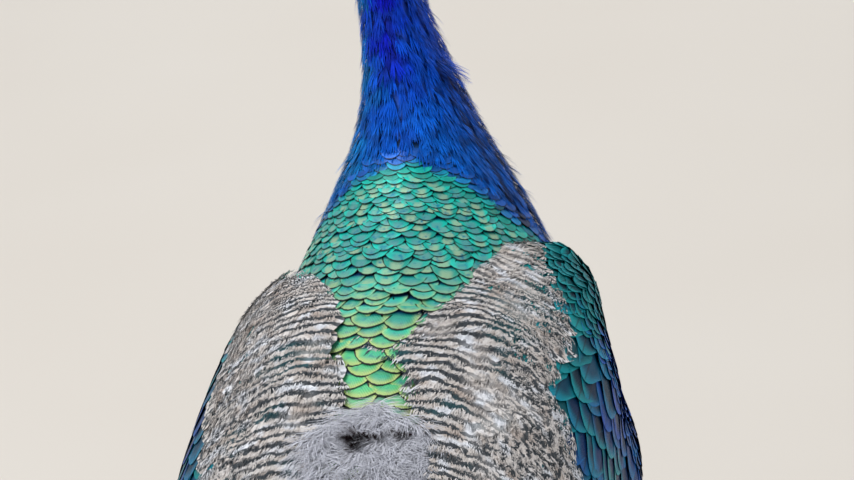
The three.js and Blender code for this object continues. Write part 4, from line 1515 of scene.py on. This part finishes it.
@dataclass(frozen=True)
class EyeCoat:
    """An eyespot: notched violet pupil, turquoise, bronze, and thin gold, brown and green rings."""

    name: str = "eyespots"
    pupil: tuple = (26, 16, 110)
    iris: tuple = (0, 150, 176)
    bronze: tuple = (128, 78, 42)
    gold: tuple = (170, 156, 66)
    brown: tuple = (92, 62, 48)
    green: tuple = (78, 120, 54)

    def build(self) -> Material:
        """Makes the material from each point's place within its eyespot, from -1 to 1."""
        g = Graph(self.name, Metallic=0.6, Roughness=0.34)
        aside, forward = g.value("aside"), g.value("forward")
        off = g.math("ABSOLUTE", aside)
        off_square = g.math("POWER", off, 2.0)
        out = g.math("SQRT", g.plus(off_square, g.math("POWER", g.minus(forward, 0.05), 2.0)))
        pupil = g.plus(g.times(off_square, 0.75), g.math("POWER", g.plus(forward, 0.1), 2.0))
        pupil = g.math("SQRT", pupil)
        notch = g.plus(g.times(off, 2.2), g.plus(forward, 0.42))
        base = g.blend(g.step(out, 0.5, 0.56), self.iris, self.bronze)
        shape = g.times(g.step(pupil, 0.32, 0.27), g.step(notch, 0.12, 0.2))
        base = g.blend(shape, base, self.pupil)
        for edge, tint in ((0.74, self.gold), (0.79, self.brown), (0.87, self.gold), (0.92, self.green)):
            base = g.blend(g.step(out, edge, edge + 0.03), base, tint)
        turn = g.math("ARCTAN2", aside, g.plus(forward, 1.3))
        barb = g.scaled(g.math("SINE", g.times(turn, 150.0)), 0.5, 0.5)
        factor = g.scaled(barb, 0.3, 0.8)
        factor = g.times(factor, g.scaled(g.value("seed"), 0.4, 0.75))
        g.bump(barb, 0.4)
        return g.finish(g.shade(base, factor))


@dataclass
class Train:
    """Scaly root, rows of eyespots on loose bronze barbs, and forked feathers at the end.

    per_mm is the share of the train's length that one millimetre along it takes.
    """

    rng: Random
    form: TrainForm = field(default_factory=TrainForm)
    spacing: tuple = (48.0, 42.0)
    eye_size: tuple = (42.0, 36.0)
    shaft_length: float = 300.0
    shaft_width: float = 1.5
    barb_width: float = 1.3
    loose_width: float = 1.7
    barb_turn: float = 0.46
    halo: int = 34
    fringe: float = 14.0
    eyes_from: float = 0.2
    per_mm: float = 1 / 1320
    scale_tints: tuple = ((64, 168, 84), (126, 150, 60))
    barb_tints: tuple = ((60, 96, 40), (142, 104, 50))
    fork_tints: tuple = ((54, 96, 44), (104, 128, 56))
    shaft_tint: tuple = (196, 184, 158)

    def build(self, shop: Workshop) -> None:
        """Makes the train from its underside up."""
        loose = PlainCoat("train_barbs", metallic=0.5, roughness=0.4, root_shade=0.6, barbs=3.0).build()
        plain = PlainCoat("train_under", roughness=0.6, root_shade=0.6, barbs=40.0).build()
        self.under(shop, plain)
        self.scales(shop)
        reach, width = (self.eyes_from, 0.985), (-0.92, 0.92)
        eyes = rows_of_roots(self.form, reach, width, self.spacing, self.eye_size, self.rng, 0.14)
        eyes.turn = eyes.a * 0.12
        third = np.minimum((eyes.s - self.eyes_from) / (1 - self.eyes_from) * 3, 2).astype(int)
        for i, node in enumerate(("train_root", "train_middle", "train_end")):
            self.feathers(shop, eyes.only(third == i), node, loose)
        self.forks(shop, loose)

    def tinted(self, roots: Roots, tint: Array | tuple) -> Array:
        """One colour, darker or lighter for each feather."""
        return linear(tint) * self.rng.uniform(0.65, 1.25, (len(roots), 1))

    def within(self, roots: Roots) -> Roots:
        """Shortens the barbs that would pass the train's edge by more than its fringe."""
        half = along(self.form.half_width, np.clip(roots.s, 0, 1))
        outwards = roots.length * np.sin(roots.turn) * np.sign(roots.a)
        room = (1 - np.abs(roots.a)) * half + self.fringe * self.rng.uniform(0.2, 1.0, len(roots))
        roots.length = roots.length * np.clip(room / np.maximum(outwards, 1e-6), 0, 1)
        return roots

    def under(self, shop: Workshop, material: Material) -> None:
        """Broad dark feathers within the train, and paler ones on its underside."""
        layers = (("train_core", 0.35, -1.0, (44, 62, 34)), ("train_underside", 0.94, 1.0, (112, 96, 78)))
        vane = Vane(lift=(-2.0, 0.0, 0.6), rows=8, tip=0.2, cup=0.04)
        for name, depth, outward, tint in layers:
            form = TrainForm(depth=depth, outward=outward)
            roots = rows_of_roots(form, (0.02, 0.9), (-0.8, 0.8), (60, 26), (150, 38), self.rng, 0.1)
            roots.length = np.minimum(roots.length, (1.0 - roots.s) * form.length)
            sheet = paint(lay_vanes(form, roots, vane, 0.01), coat=self.tinted(roots, tint))
            shop.make(name, sheet, material, "train")

    def scales(self, shop: Workshop) -> None:
        """Scale feathers that grow larger down to the first eyespots."""
        roots = rows_of_roots(self.form, (0.0, 0.3), (-0.98, 0.98), (12, 14), (30, 23), self.rng, 0.12)
        growth = 0.75 + 1.6 * roots.s
        roots.length, roots.width = roots.length * growth, roots.width * growth
        vane = Vane((0.45, 0.9, 1.0, 0.95, 0.85), (-4.5, -1.6, 0.8), tip=0.34)
        tints = self.tinted(roots, mix(*self.scale_tints, smooth(0.05, 0.3, roots.s)))
        sheet = paint(lay_vanes(self.form, roots, vane), coat=tints, low=np.ones(len(roots)))
        shop.make("train_scales", sheet, ScaleCoat("train_root_scales").build(), "train")

    def feathers(self, shop: Workshop, eyes: Roots, node: str, loose: Material) -> None:
        """Shafts, barbs and eyespots of the feathers that end in one length of the train."""
        start = np.maximum(eyes.s - self.shaft_length * self.per_mm, 0.01)
        length = (eyes.s - start) / self.per_mm
        width = np.full(len(eyes), self.shaft_width)
        shafts = replace(eyes, s=start, length=length, width=width, turn=eyes.turn * 0)
        self.barbs(shop, Roots.joined([*self.sprays(shafts), self.halos(eyes)]), node, loose)
        vane = Vane((1.0, 0.9, 0.8, 0.6), (-1.0, 0.8, 1.6), rows=10, columns=2, tip=0, cup=-0.6)
        sheet = paint(lay_vanes(self.form, shafts, vane), coat=self.tinted(shafts, self.shaft_tint))
        shaft = PlainCoat(f"{node}_shafts", roughness=0.4, root_shade=0.8, barbs=1.0).build()
        shop.make(f"{node}_shafts", sheet, shaft, "train")
        spots = replace(eyes, s=eyes.s - eyes.length * 0.5 * self.per_mm, lift=eyes.lift + 2.2)
        outline = (0.12, 0.66, 0.93, 1.0, 0.95, 0.74, 0.16)
        vane = Vane(outline, lift=(0.2, 1.2, 1.0), rows=12, columns=8, tip=0)
        sheet = lay_vanes(self.form, spots, vane, 0.05)
        sheet.values["aside"] = (2 * sheet.vane[:, 0] - 1) * along(vane.outline, sheet.vane[:, 1])
        sheet.values["forward"] = 2 * sheet.vane[:, 1] - 1
        shop.make(f"{node}_eyes", sheet, EyeCoat(f"{node}_eyespots").build(), "train")

    def barbs(self, shop: Workshop, roots: Roots, node: str, loose: Material) -> None:
        """The loose barbs of one length of the train."""
        roots = self.within(roots)
        vane = replace(BARB, outline=(0.9, 1.0, 0.8, 0.3), lift=(-1.0, 0.2, 0.8))
        tints = self.tinted(roots, mix(*self.barb_tints, roots.seed))
        sheet = paint(lay_vanes(self.form, roots, vane, 0.01), coat=tints)
        shop.make(f"{node}_barbs", sheet, loose, "train", node)

    def sprays(self, shafts: Roots) -> list[Roots]:
        """Barbs along both sides of each shaft, longer towards its end."""
        steps = 70
        share = np.tile(np.linspace(0.12, 1.0, steps), len(shafts))
        n = len(share)
        made = []
        for sign in (1, -1):
            barbs = shafts.repeated(steps)
            barbs.s = barbs.s + share * barbs.length * self.per_mm
            barbs.length = (36 + 14 * share) * self.rng.normal(1, 0.1, n)
            barbs.width = self.barb_width * self.rng.normal(1, 0.15, n)
            barbs.turn = sign * (self.barb_turn + self.rng.normal(0, 0.09, n))
            barbs.lift = barbs.lift + self.rng.normal(0.4, 0.5, n)
            made.append(barbs)
        return made

    def halos(self, eyes: Roots) -> Roots:
        """Barbs that spread from below each eyespot to just past its rim."""
        turn = np.tile(np.linspace(-2.0, 2.0, self.halo), len(eyes))
        made = eyes.repeated(self.halo)
        n = len(turn)
        start = 0.3 * made.length
        to_rim = start * np.cos(turn) + np.sqrt((0.46 * made.length) ** 2 - (start * np.sin(turn)) ** 2)
        made.s = made.s - start * self.per_mm
        made.length = to_rim + 9 * self.rng.normal(1, 0.3, n)
        made.width = np.full(n, self.loose_width)
        made.turn = turn + self.rng.normal(0, 0.05, n)
        made.lift = made.lift + self.rng.normal(0.2, 0.4, n)
        return made

    def forks(self, shop: Workshop, loose: Material) -> None:
        """Long feathers that end in a fork, at the end of the train and along its edges."""
        count, steps = 27, 56
        a = np.repeat(np.linspace(-0.93, 0.93, count), steps)
        share = np.tile(np.linspace(0.0, 1.0, steps), count)
        n = len(a)
        start = 0.958 - 0.05 * np.abs(a) - 0.13 * (1 - share)
        lift = np.repeat(self.rng.normal(-0.6, 0.5, count), steps)
        seed = np.repeat(self.rng.random(count), steps)
        sides = []
        for sign in (1, -1):
            length = (26 + 20 * share) * self.rng.normal(1, 0.08, n)
            turn = sign * (0.62 - 0.22 * share + self.rng.normal(0, 0.06, n))
            sides.append(Roots(start, a, length, np.full(n, self.loose_width), turn, lift, seed))
        both = self.within(Roots.joined(sides))
        vane = replace(BARB, outline=(0.9, 1.0, 0.9, 0.5), lift=(-1.0, 0.0, 0.4))
        tints = self.tinted(both, mix(*self.fork_tints, both.seed))
        sheet = paint(lay_vanes(self.form, both, vane, 0.01), coat=tints)
        shop.make("train_forks", sheet, loose, "train")


@dataclass
class TailForm(Form):
    """The stiff tail below the train: s is the share of its length, a of its half width."""

    train: TrainForm = field(default_factory=lambda: TrainForm(depth=1.0))
    from_y: float = 380.0
    to_y: float = 700.0
    root_half: float = 26.0
    tip_half: float = 90.0
    below: float = 6.5
    outward: float = -1.0

    def point(self, s: Array, a: Array) -> Array:
        """The underside of the train, less a clearance."""
        s, a = np.broadcast_arrays(s, a)
        y = self.from_y + (self.to_y - self.from_y) * s
        fine = np.linspace(0, 1, 400)
        share = np.interp(y, along(self.train.y, fine), fine)
        half = self.root_half + (self.tip_half - self.root_half) * np.sin(np.pi / 2 * np.clip(s, 0, 1))
        made = self.train.point(share, half * a / along(self.train.half_width, share))
        made[..., 2] = np.maximum(made[..., 2] - self.below, 1.0)
        return made


@dataclass
class Tail:
    """Twenty stiff brown feathers."""

    rng: Random
    feathers: int = 20
    width: float = 21.0
    coat: tuple = (112, 92, 74)

    def build(self, shop: Workshop) -> None:
        """Lays them side by side, the middle ones on top."""
        a = np.linspace(-0.86, 0.86, self.feathers)
        n = self.feathers
        lift = 1.6 - 2.6 * np.abs(a)
        length = 312 - 14 * np.abs(a)
        roots = Roots(np.full(n, 0.02), a, length, np.full(n, self.width), a * 0, lift, self.rng.random(n))
        vane = Vane((0.5, 0.8, 1.0, 1.0, 0.8), (0.0, 0.0, 0.0), rows=14, tip=0.06, cup=0.05)
        tints = linear(self.coat) * self.rng.uniform(0.8, 1.15, (n, 1))
        sheet = paint(lay_vanes(TailForm(), roots, vane, 0.04), coat=tints)
        finish = GlossCoat("tail_feathers", (84, 66, 50), (120, 98, 76), (150, 132, 108), metallic=0.0)
        shop.make("tail_feathers", sheet, finish.build(), "tail", "tail")


# ---- head


@dataclass
class Face:
    """Bill, eyes, lids and crest, in the head's own frame until placed."""

    head: HeadForm
    rng: Random
    eye_radius: float = 6.2
    bill_root: float = -33.5
    bill_length: float = 33.0
    bill_half: tuple = (7, 6.2, 4.9, 3.2, 0.9)
    bill_top: tuple = (7.2, 6.8, 5.2, 1.4, -6.8)
    bill_gape: tuple = (-1.4, -1.7, -2.2, -3.2, -7.8)
    lower_gape: tuple = (-1.4, -1.6, -2.0, -2.8, -4.2)
    lower_under: tuple = (-8.2, -8, -7.2, -6.0, -4.8)
    lower_share: float = 0.86
    crest_feathers: int = 24
    crest_length: float = 52.0
    crest_root: tuple = (0, 13, 18.5)
    crest_span: float = 9.0
    crest_leans: tuple = (-14.0, 62.0)
    crest_fan: float = 13.0
    tip_length: float = 18.0
    tip_splay: float = 0.62
    tip_strips: int = 27
    shaft_tint: tuple = (206, 200, 186)
    tip_tints: tuple = ((0, 70, 150), (0, 130, 120))

    def build(self, shop: Workshop) -> None:
        """Makes the pieces of the face."""
        self.bill(shop)
        self.eyes(shop)
        self.crest(shop)

    def bill(self, shop: Workshop) -> None:
        """Two halves that narrow to the tip, the upper one hooked over the lower."""
        finish = HornCoat("bill_horn", (150, 146, 132), (92, 90, 84)).build()
        halves = (
            ("bill_upper", self.bill_top, self.bill_gape, 1.0, 0.0),
            ("bill_lower", self.lower_gape, self.lower_under, self.lower_share, -0.35),
        )
        for name, upper, lower, reach, drop in halves:
            s = np.linspace(-0.16, 1, 34)[:, None]
            turn = ring(40)
            inside = np.clip(s, 0, 1)
            over = float(name == "bill_upper")
            top = along(upper, inside) + drop
            under = along(lower, inside)
            level = (top + under) / 2 + (top - under) / 2 * np.sin(turn)
            ridge = 1 - 0.25 * np.clip(np.sin(turn), 0, 1) ** 2 * over
            pit = over * smooth(1.3, 0.6, ((s - 0.26) / 0.11) ** 2 + ((np.sin(turn) - 0.3) / 0.2) ** 2)
            x = along(self.bill_half, inside) * np.cos(turn) * (ridge - 0.12 * pit)
            y = self.bill_root - self.bill_length * reach * s
            rings = self.head.place(vector(x, y + 0 * turn, level))
            shop.make(name, tube(rings, {"pit": pit}), finish, "bill", name, weld=True)

    def eyes(self, shop: Workshop) -> None:
        """Glossy brown eyes, each in a pair of bare lids."""
        ball = EyeBall().build()
        lid = LidSkin().build()
        for side in Side:
            axis = unit(np.array([side.value * 1.0, -0.2, 0.12]))
            up = unit(np.cross(np.cross(axis, [0, 0, 1.0]), axis))
            along_eye = np.cross(up, axis)
            at = np.array(EYE_AT) * [side.value, 1, 1]
            polar = np.linspace(0.0, np.pi, 33)[1:-1, None]
            turn = ring(48)

            def around(radius: Array, polar: Array, turn: Array) -> Array:
                """Points about the eye's middle, by their distance, angle off the axis and turn."""
                out = radius * np.sin(polar)
                made = at + axis * (radius * np.cos(polar) + 0 * turn)[..., None]
                made = made + along_eye * (out * np.cos(turn))[..., None]
                return made + up * (out * np.sin(turn))[..., None]

            cornea = self.eye_radius + 0.35 * smooth(0.75, 0.2, polar)
            sheet = tube(self.head.place(around(cornea, polar, turn)), {"polar": polar + 0 * turn})
            shop.make(f"eye_{side.word}", sheet, ball, "eye", f"eye_{side.word}", weld=True)
            opening = 0.92 - 0.22 * np.sin(turn) ** 2
            fold = np.linspace(0, 1, 17)[:, None]
            reach = opening + (1.7 - opening) * np.clip((fold - 0.2) / 0.8, 0, 1)
            radius = self.eye_radius + 0.15 + 0.4 * np.sin(np.pi * np.clip(fold / 0.5, 0, 1)) ** 0.6
            outer = around(radius, reach, turn)
            inner = around(radius * 0 + self.eye_radius - 0.4, reach[::-1], turn)
            corner = smooth(0.6, 0.9, np.abs(np.cos(turn))) + 0 * np.concatenate([fold, fold])
            sheet = tube(self.head.place(np.concatenate([outer, inner])), {"corner": corner})
            shop.make(f"lids_{side.word}", sheet, lid, "bill", weld=True)

    def crest(self, shop: Workshop) -> None:
        """Bare shafts fanned from the crown, each with a fan of blue-green barbs at its end."""
        i = np.arange(self.crest_feathers)
        share = i / (self.crest_feathers - 1)
        lean = np.radians(self.crest_leans[0] + (self.crest_leans[1] - self.crest_leans[0]) * share)
        fan = np.radians(self.crest_fan * np.sin(i * 2.4))
        aim = unit(vector(np.sin(fan), np.sin(lean), np.cos(lean)))
        length = self.crest_length * (0.86 + 0.14 * np.sin(np.pi * share))
        start = np.array(self.crest_root) + vector(0, self.crest_span * (share - 0.5), 0)
        end = start + aim * (length + 3)[:, None]
        across = unit(np.cross(aim, [1.0, 0, 0]))
        sideways = unit(np.cross(aim, across))
        stems = Sheet.joined([ribbons(start, end, wide, 0.9, 6) for wide in (across, sideways)])
        stems.points = self.head.place(stems.points)
        stems.values["coat"] = np.tile(linear(self.shaft_tint), (len(stems.points), 1))
        finish = PlainCoat("crest_shafts", roughness=0.5, root_shade=0.9, barbs=1.0).build()
        shop.make("crest_shafts", stems, finish, "crest")
        splay = np.tile(np.linspace(-self.tip_splay, self.tip_splay, self.tip_strips), len(i))
        each = (start + aim * (length - self.tip_length / 2)[:, None], aim, across, sideways)
        begin, aim, across, sideways = (np.repeat(v, self.tip_strips, axis=0) for v in each)
        towards = aim * np.cos(splay)[:, None] + across * np.sin(splay)[:, None]
        towards = unit(towards + self.rng.normal(0, 0.03, towards.shape))
        reach = self.tip_length * (1 - 0.2 * (splay / self.tip_splay) ** 2)
        reach = reach * self.rng.normal(1, 0.07, len(splay))
        wide = unit(np.cross(towards, sideways))
        barbs = ribbons(begin, begin + towards * reach[:, None], wide, 0.8, 4)
        barbs.points = self.head.place(barbs.points)
        paint(barbs, coat=mix(*self.tip_tints, self.rng.random(len(splay))))
        finish = PlainCoat("crest_tips", metallic=0.4, roughness=0.4, barbs=2.0).build()
        shop.make("crest", barbs, finish, "crest", "crest")


def ribbons(start: Array, end: Array, wide: Array, width: float, rows: int) -> Sheet:
    """Straight narrow strips, one for each start and end, which narrow to their ends."""
    n = len(start)
    t = np.linspace(0, 1, rows + 1)[None, :, None, None]
    u = np.array([-0.5, 0.5])[None, None, :, None]
    points = start[:, None, None] + (end - start)[:, None, None] * t
    points = points + wide[:, None, None] * u * width * (1 - 0.5 * t**2)
    uv = np.stack(np.broadcast_arrays(u[..., 0] + 0.5, t[..., 0]), axis=-1) + np.zeros((n, 1, 1, 1))
    i, in_row = np.arange(n), 30
    place = np.stack([i % in_row / in_row, i // in_row / (n // in_row + 1)], axis=-1) * 0.96 + 0.01
    bake = place[:, None, None] + uv * 0.02
    seed = np.repeat(i * 0.618 % 1, (rows + 1) * 2)
    faces = grid_faces(n, rows, 1)
    return Sheet(points.reshape(-1, 3), faces, uv.reshape(-1, 2), bake.reshape(-1, 2), {"seed": seed})


@dataclass(frozen=True)
class HornCoat:
    """Horn: pale or dark, streaked along its length, a little glossy."""

    name: str
    pale: tuple
    dark: tuple
    roughness: float = 0.38
    # painted shade in the nostril's opening
    nostril: tuple = (22, 20, 20)

    def build(self) -> Material:
        """Makes the material."""
        g = Graph(self.name, Coat_Weight=0.15)
        where = g.node("TexCoord").outputs["Object"]
        streak = g.node("VectorMath", {0: where, 1: (260.0, 30.0, 260.0)}, operation="MULTIPLY").outputs[0]
        lines = g.noise(1.0, 4.0, streak)
        _, forward = g.vane()
        base = g.blend(g.step(lines, 0.3, 0.75), self.pale, self.dark)
        base = g.blend(g.step(forward, 0.45, 1.0), base, self.dark)
        # the nostril pit painted near black: painted shade in its opening
        base = g.blend(g.value("pit"), base, self.nostril)
        g.bump(lines, 0.25)
        return g.finish(base, g.scaled(lines, 0.2, self.roughness - 0.1))


@dataclass(frozen=True)
class EyeBall:
    """An eye: black pupil, brown ring with fine rays, dark rim, wet gloss."""

    def build(self) -> Material:
        """Makes the material from the angle off the eye's axis."""
        g = Graph("eyeball", Roughness=0.2, Specular_IOR_Level=0.2, Coat_Weight=0.25, Coat_Roughness=0.04)
        polar = g.value("polar")
        rays = g.noise(700.0, 3.0)
        iris = g.blend(rays, (56, 30, 16), (108, 64, 34))
        base = g.blend(g.step(polar, 0.42, 0.48), (4, 4, 4), iris)
        base = g.blend(g.step(polar, 0.76, 0.88), base, (20, 14, 10))
        return g.finish(base)


@dataclass(frozen=True)
class LidSkin:
    """Bare pale skin, finely wrinkled, dark along the rim."""

    def build(self) -> Material:
        """Makes the material."""
        g = Graph("lid_skin", Roughness=0.7, Specular_IOR_Level=0.2)
        _, forward = g.vane()
        wrinkle = g.noise(1400.0, 4.0)
        base = g.blend(wrinkle, (190, 186, 178), (222, 218, 210))
        base = g.blend(g.value("corner"), base, (8, 16, 34))
        base = g.blend(g.step(forward, 0.16, 0.11), base, (46, 42, 44))
        g.bump(wrinkle, 0.5)
        return g.finish(base)


# ---- legs


@dataclass(frozen=True)
class ScutedSkin:
    """Leg skin: rows of plates in front, small scales at the sides, darker in the seams."""

    name: str = "leg_scutes"

    def build(self) -> Material:
        """Makes the material."""
        g = Graph(self.name, Roughness=0.5)
        scales = g.node("TexVoronoi", {"Scale": 420.0}, feature="DISTANCE_TO_EDGE").outputs[0]
        seam = g.step(scales, 0.0, 0.12)
        mottle = g.noise(120.0, 3.0)
        base = g.blend(mottle, (128, 118, 104), (166, 156, 138))
        base = g.blend(seam, (100, 90, 78), base)
        base = g.blend(g.step(g.value("groove"), 0.7, 1.0), base, (92, 82, 70))
        g.bump(seam, 0.5)
        return g.finish(base)


@dataclass
class Leg:
    """Bare shank, four toes with claws, and a spur."""

    side: Side
    sideways: float = 60.0
    foot_y: float = 22.0
    shank_half: tuple = (9.5, 7.6, 5.6, 5.2, 5.6, 8.2)
    deeper: float = 1.15
    spur_half: tuple = (4.2, 3, 1.5, 0.5)
    toes: tuple = (
        ("middle", 0, 68, 6.2, 15),
        ("inner", 38, 46, 5.6, 13),
        ("outer", -36, 52, 5.6, 13),
        ("hind", 168, 26, 4.6, 11),
    )

    def build(self, shop: Workshop, skin: Material, horn: Material) -> None:
        """Makes the leg, the claws and the spur."""
        word = self.side.word
        pieces = [self.shank()] + [self.toe(*toe[1:4]) for toe in self.toes]
        nodes = [f"shank_{word}"] + [f"toe_{word}_{toe[0]}" for toe in self.toes]
        shop.make(f"leg_{word}", Sheet.joined(pieces), skin, "leg_scales", *nodes, weld=True)
        claws = Sheet.joined([self.claw(*toe[1:]) for toe in self.toes])
        nodes = [f"claw_{word}_{toe[0]}" for toe in self.toes]
        shop.make(f"claws_{word}", claws, horn, "claw", *nodes, weld=True)
        shop.make(f"spur_{word}", self.spur(), horn, "claw", f"spur_{word}", weld=True)

    def shank(self) -> Sheet:
        """The shank with raised plates in front and behind."""
        form = LimbForm(
            self.side.value,
            ((66, 196), (42.5, 95), (22, 6)),
            self.shank_half,
            tuple(half * self.deeper for half in self.shank_half),
        )
        s = np.linspace(0, 1, 180)[:, None]
        turn = ring(32)
        here = form.point(s, turn)
        phase = (s * 32 + 0.25 * np.cos(2 * turn)) % 1
        plate = np.abs(np.sin(turn)) > 0.45
        raised = 0.55 * np.sin(np.pi * phase) ** 0.5 * plate
        groove = np.where(plate, np.abs(2 * phase - 1), 0.0)
        outward = unit(here - form.point(s, turn + np.pi))
        return tube(here + outward * raised[..., None], {"groove": groove})

    def place(self, p: Array, angle: float) -> Array:
        """A toe's own points, turned forwards and carried to the foot."""
        turn = math.radians(-90 - self.side.value * angle)
        c, n = math.cos(turn), math.sin(turn)
        x, y, z = p[..., 0], p[..., 1], p[..., 2]
        return vector(self.side.value * self.sideways + c * x - n * y, self.foot_y + n * x + c * y, z)

    def toe(self, angle: float, length: float, half: float) -> Sheet:
        """A toe with a round scuted back and padded joints below."""
        s = np.linspace(-0.08, 1, 90)[:, None]
        turn = ring(28)
        inside = np.clip(s, 0, 1)
        taper = (1 - 0.36 * inside) * (1 + 0.09 * np.cos(6 * np.pi * inside))
        taper = taper * np.sqrt(np.clip(1 - smooth(0.9, 1.0, s) * 0.7, 0.05, 1))
        phase = (inside * length / 3.0) % 1
        back = smooth(0.2, 0.6, np.sin(turn))
        raised = 0.45 * np.sin(np.pi * phase) ** 0.5 * back
        wide = half * taper + raised
        high = 2.1 * half * taper + raised
        z = np.maximum(0.15, high * (0.36 + 0.64 * np.sin(turn)))
        groove = np.abs(2 * phase - 1) * back
        rings = self.place(vector(length * s + 0 * turn, wide * np.cos(turn), z), angle)
        return tube(rings, {"groove": groove})

    def claw(self, angle: float, length: float, half: float, claw: float) -> Sheet:
        """A curved cone from the end of a toe."""
        s = np.linspace(0, 1, 24)[:, None]
        turn = ring(20)
        radius = half * 0.56 * (1 - s) + 0.45
        z = half * 0.74 + (1.1 - half * 0.74) * s**2 + 1.6 * np.sin(np.pi * s)
        x = length - 4 + (claw + 4) * s
        high = np.minimum(radius * 1.2, z - 0.2)
        rings = vector(x + 0 * turn, radius * np.cos(turn), z + high * np.sin(turn))
        return tube(self.place(rings, angle))

    def spur(self) -> Sheet:
        """A blunt cone that turns up and in."""
        s = np.linspace(0, 1, 30)[:, None]
        turn = ring(24)
        form = LimbForm(self.side.value, ((38, 76), (50, 77.5), (62, 85)), self.spur_half, self.spur_half)
        made = form.point(s, turn)
        made[..., 0] -= self.side.value * 7 * s
        return tube(made)


@dataclass
class Thigh:
    """Soft buff feathers of a thigh."""

    side: Side
    rng: Random
    buff: tuple = Plumage.buff

    def build(self, shop: Workshop, material: Material) -> None:
        """Tufts down to the hock."""
        form = LimbForm(self.side.value)
        roots = rows_of_roots(form, (0.2, 0.97), AROUND, (5.6, 5.2), (20, 5), self.rng, 0.3)
        roots.length = roots.length * (1 - 0.45 * smooth(0.75, 0.97, roots.s))
        fans = fanned(roots, 9, 0.26, 0.9, self.rng)
        tints = linear(self.buff) * self.rng.uniform(0.75, 1.2, (len(roots), 1))
        sheet = paint(lay_vanes(form, fans, BARB), coat=tints)
        shop.make(f"thigh_coat_{self.side.word}", sheet, material, "buff_down")


# ---- the whole bird


def main() -> None:
    """Builds the bird, then the stage."""
    logging.basicConfig(level=logging.INFO, format="%(name)s: %(message)s")
    low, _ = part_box("claw_left_middle")
    shop = Workshop(np.array([0.0, low.y - CLAW_TIP_Y * MM, 0.0]))
    rng = np.random.default_rng(SEED)
    body, head, plumage = BodyForm(), HeadForm(), Plumage()
    SkinPiece(body, head, plumage).build(shop)
    BodyCoats(body, plumage, rng).build(shop)
    HeadCoat(head).build(shop, PlainCoat("head_feathers", metallic=0.3, roughness=0.45).build(), rng)
    finishes = {
        "covert": GlossCoat("blue_coverts", (8, 36, 56), (0, 146, 156), metallic=0.3, specular=0.2).build(),
        "barred": BarredCoat().build(),
        "dark": GlossCoat("secondaries", (18, 26, 30), (0, 84, 92), roughness=0.3).build(),
        "rufous": GlossCoat("primaries", (112, 74, 52), (132, 90, 62), (96, 70, 52), 0.0, 0.55).build(),
    }
    buff = PlainCoat("thigh_barbs", roughness=0.7, root_shade=0.6).build()
    scutes = ScutedSkin().build()
    claw_horn = HornCoat("claw_horn", (96, 86, 74), (44, 38, 34)).build()
    for side in Side:
        Wing(side, body, rng).build(shop, finishes)
        Thigh(side, rng).build(shop, buff)
        Leg(side).build(shop, scutes, claw_horn)
    Face(head, rng).build(shop)
    Train(rng).build(shop)
    Tail(rng).build(shop)
    Studio().build(shop.shift)
    low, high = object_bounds()
    LOG.info("%d pieces", len(shop.made))


if __name__ == "__main__":
    main()
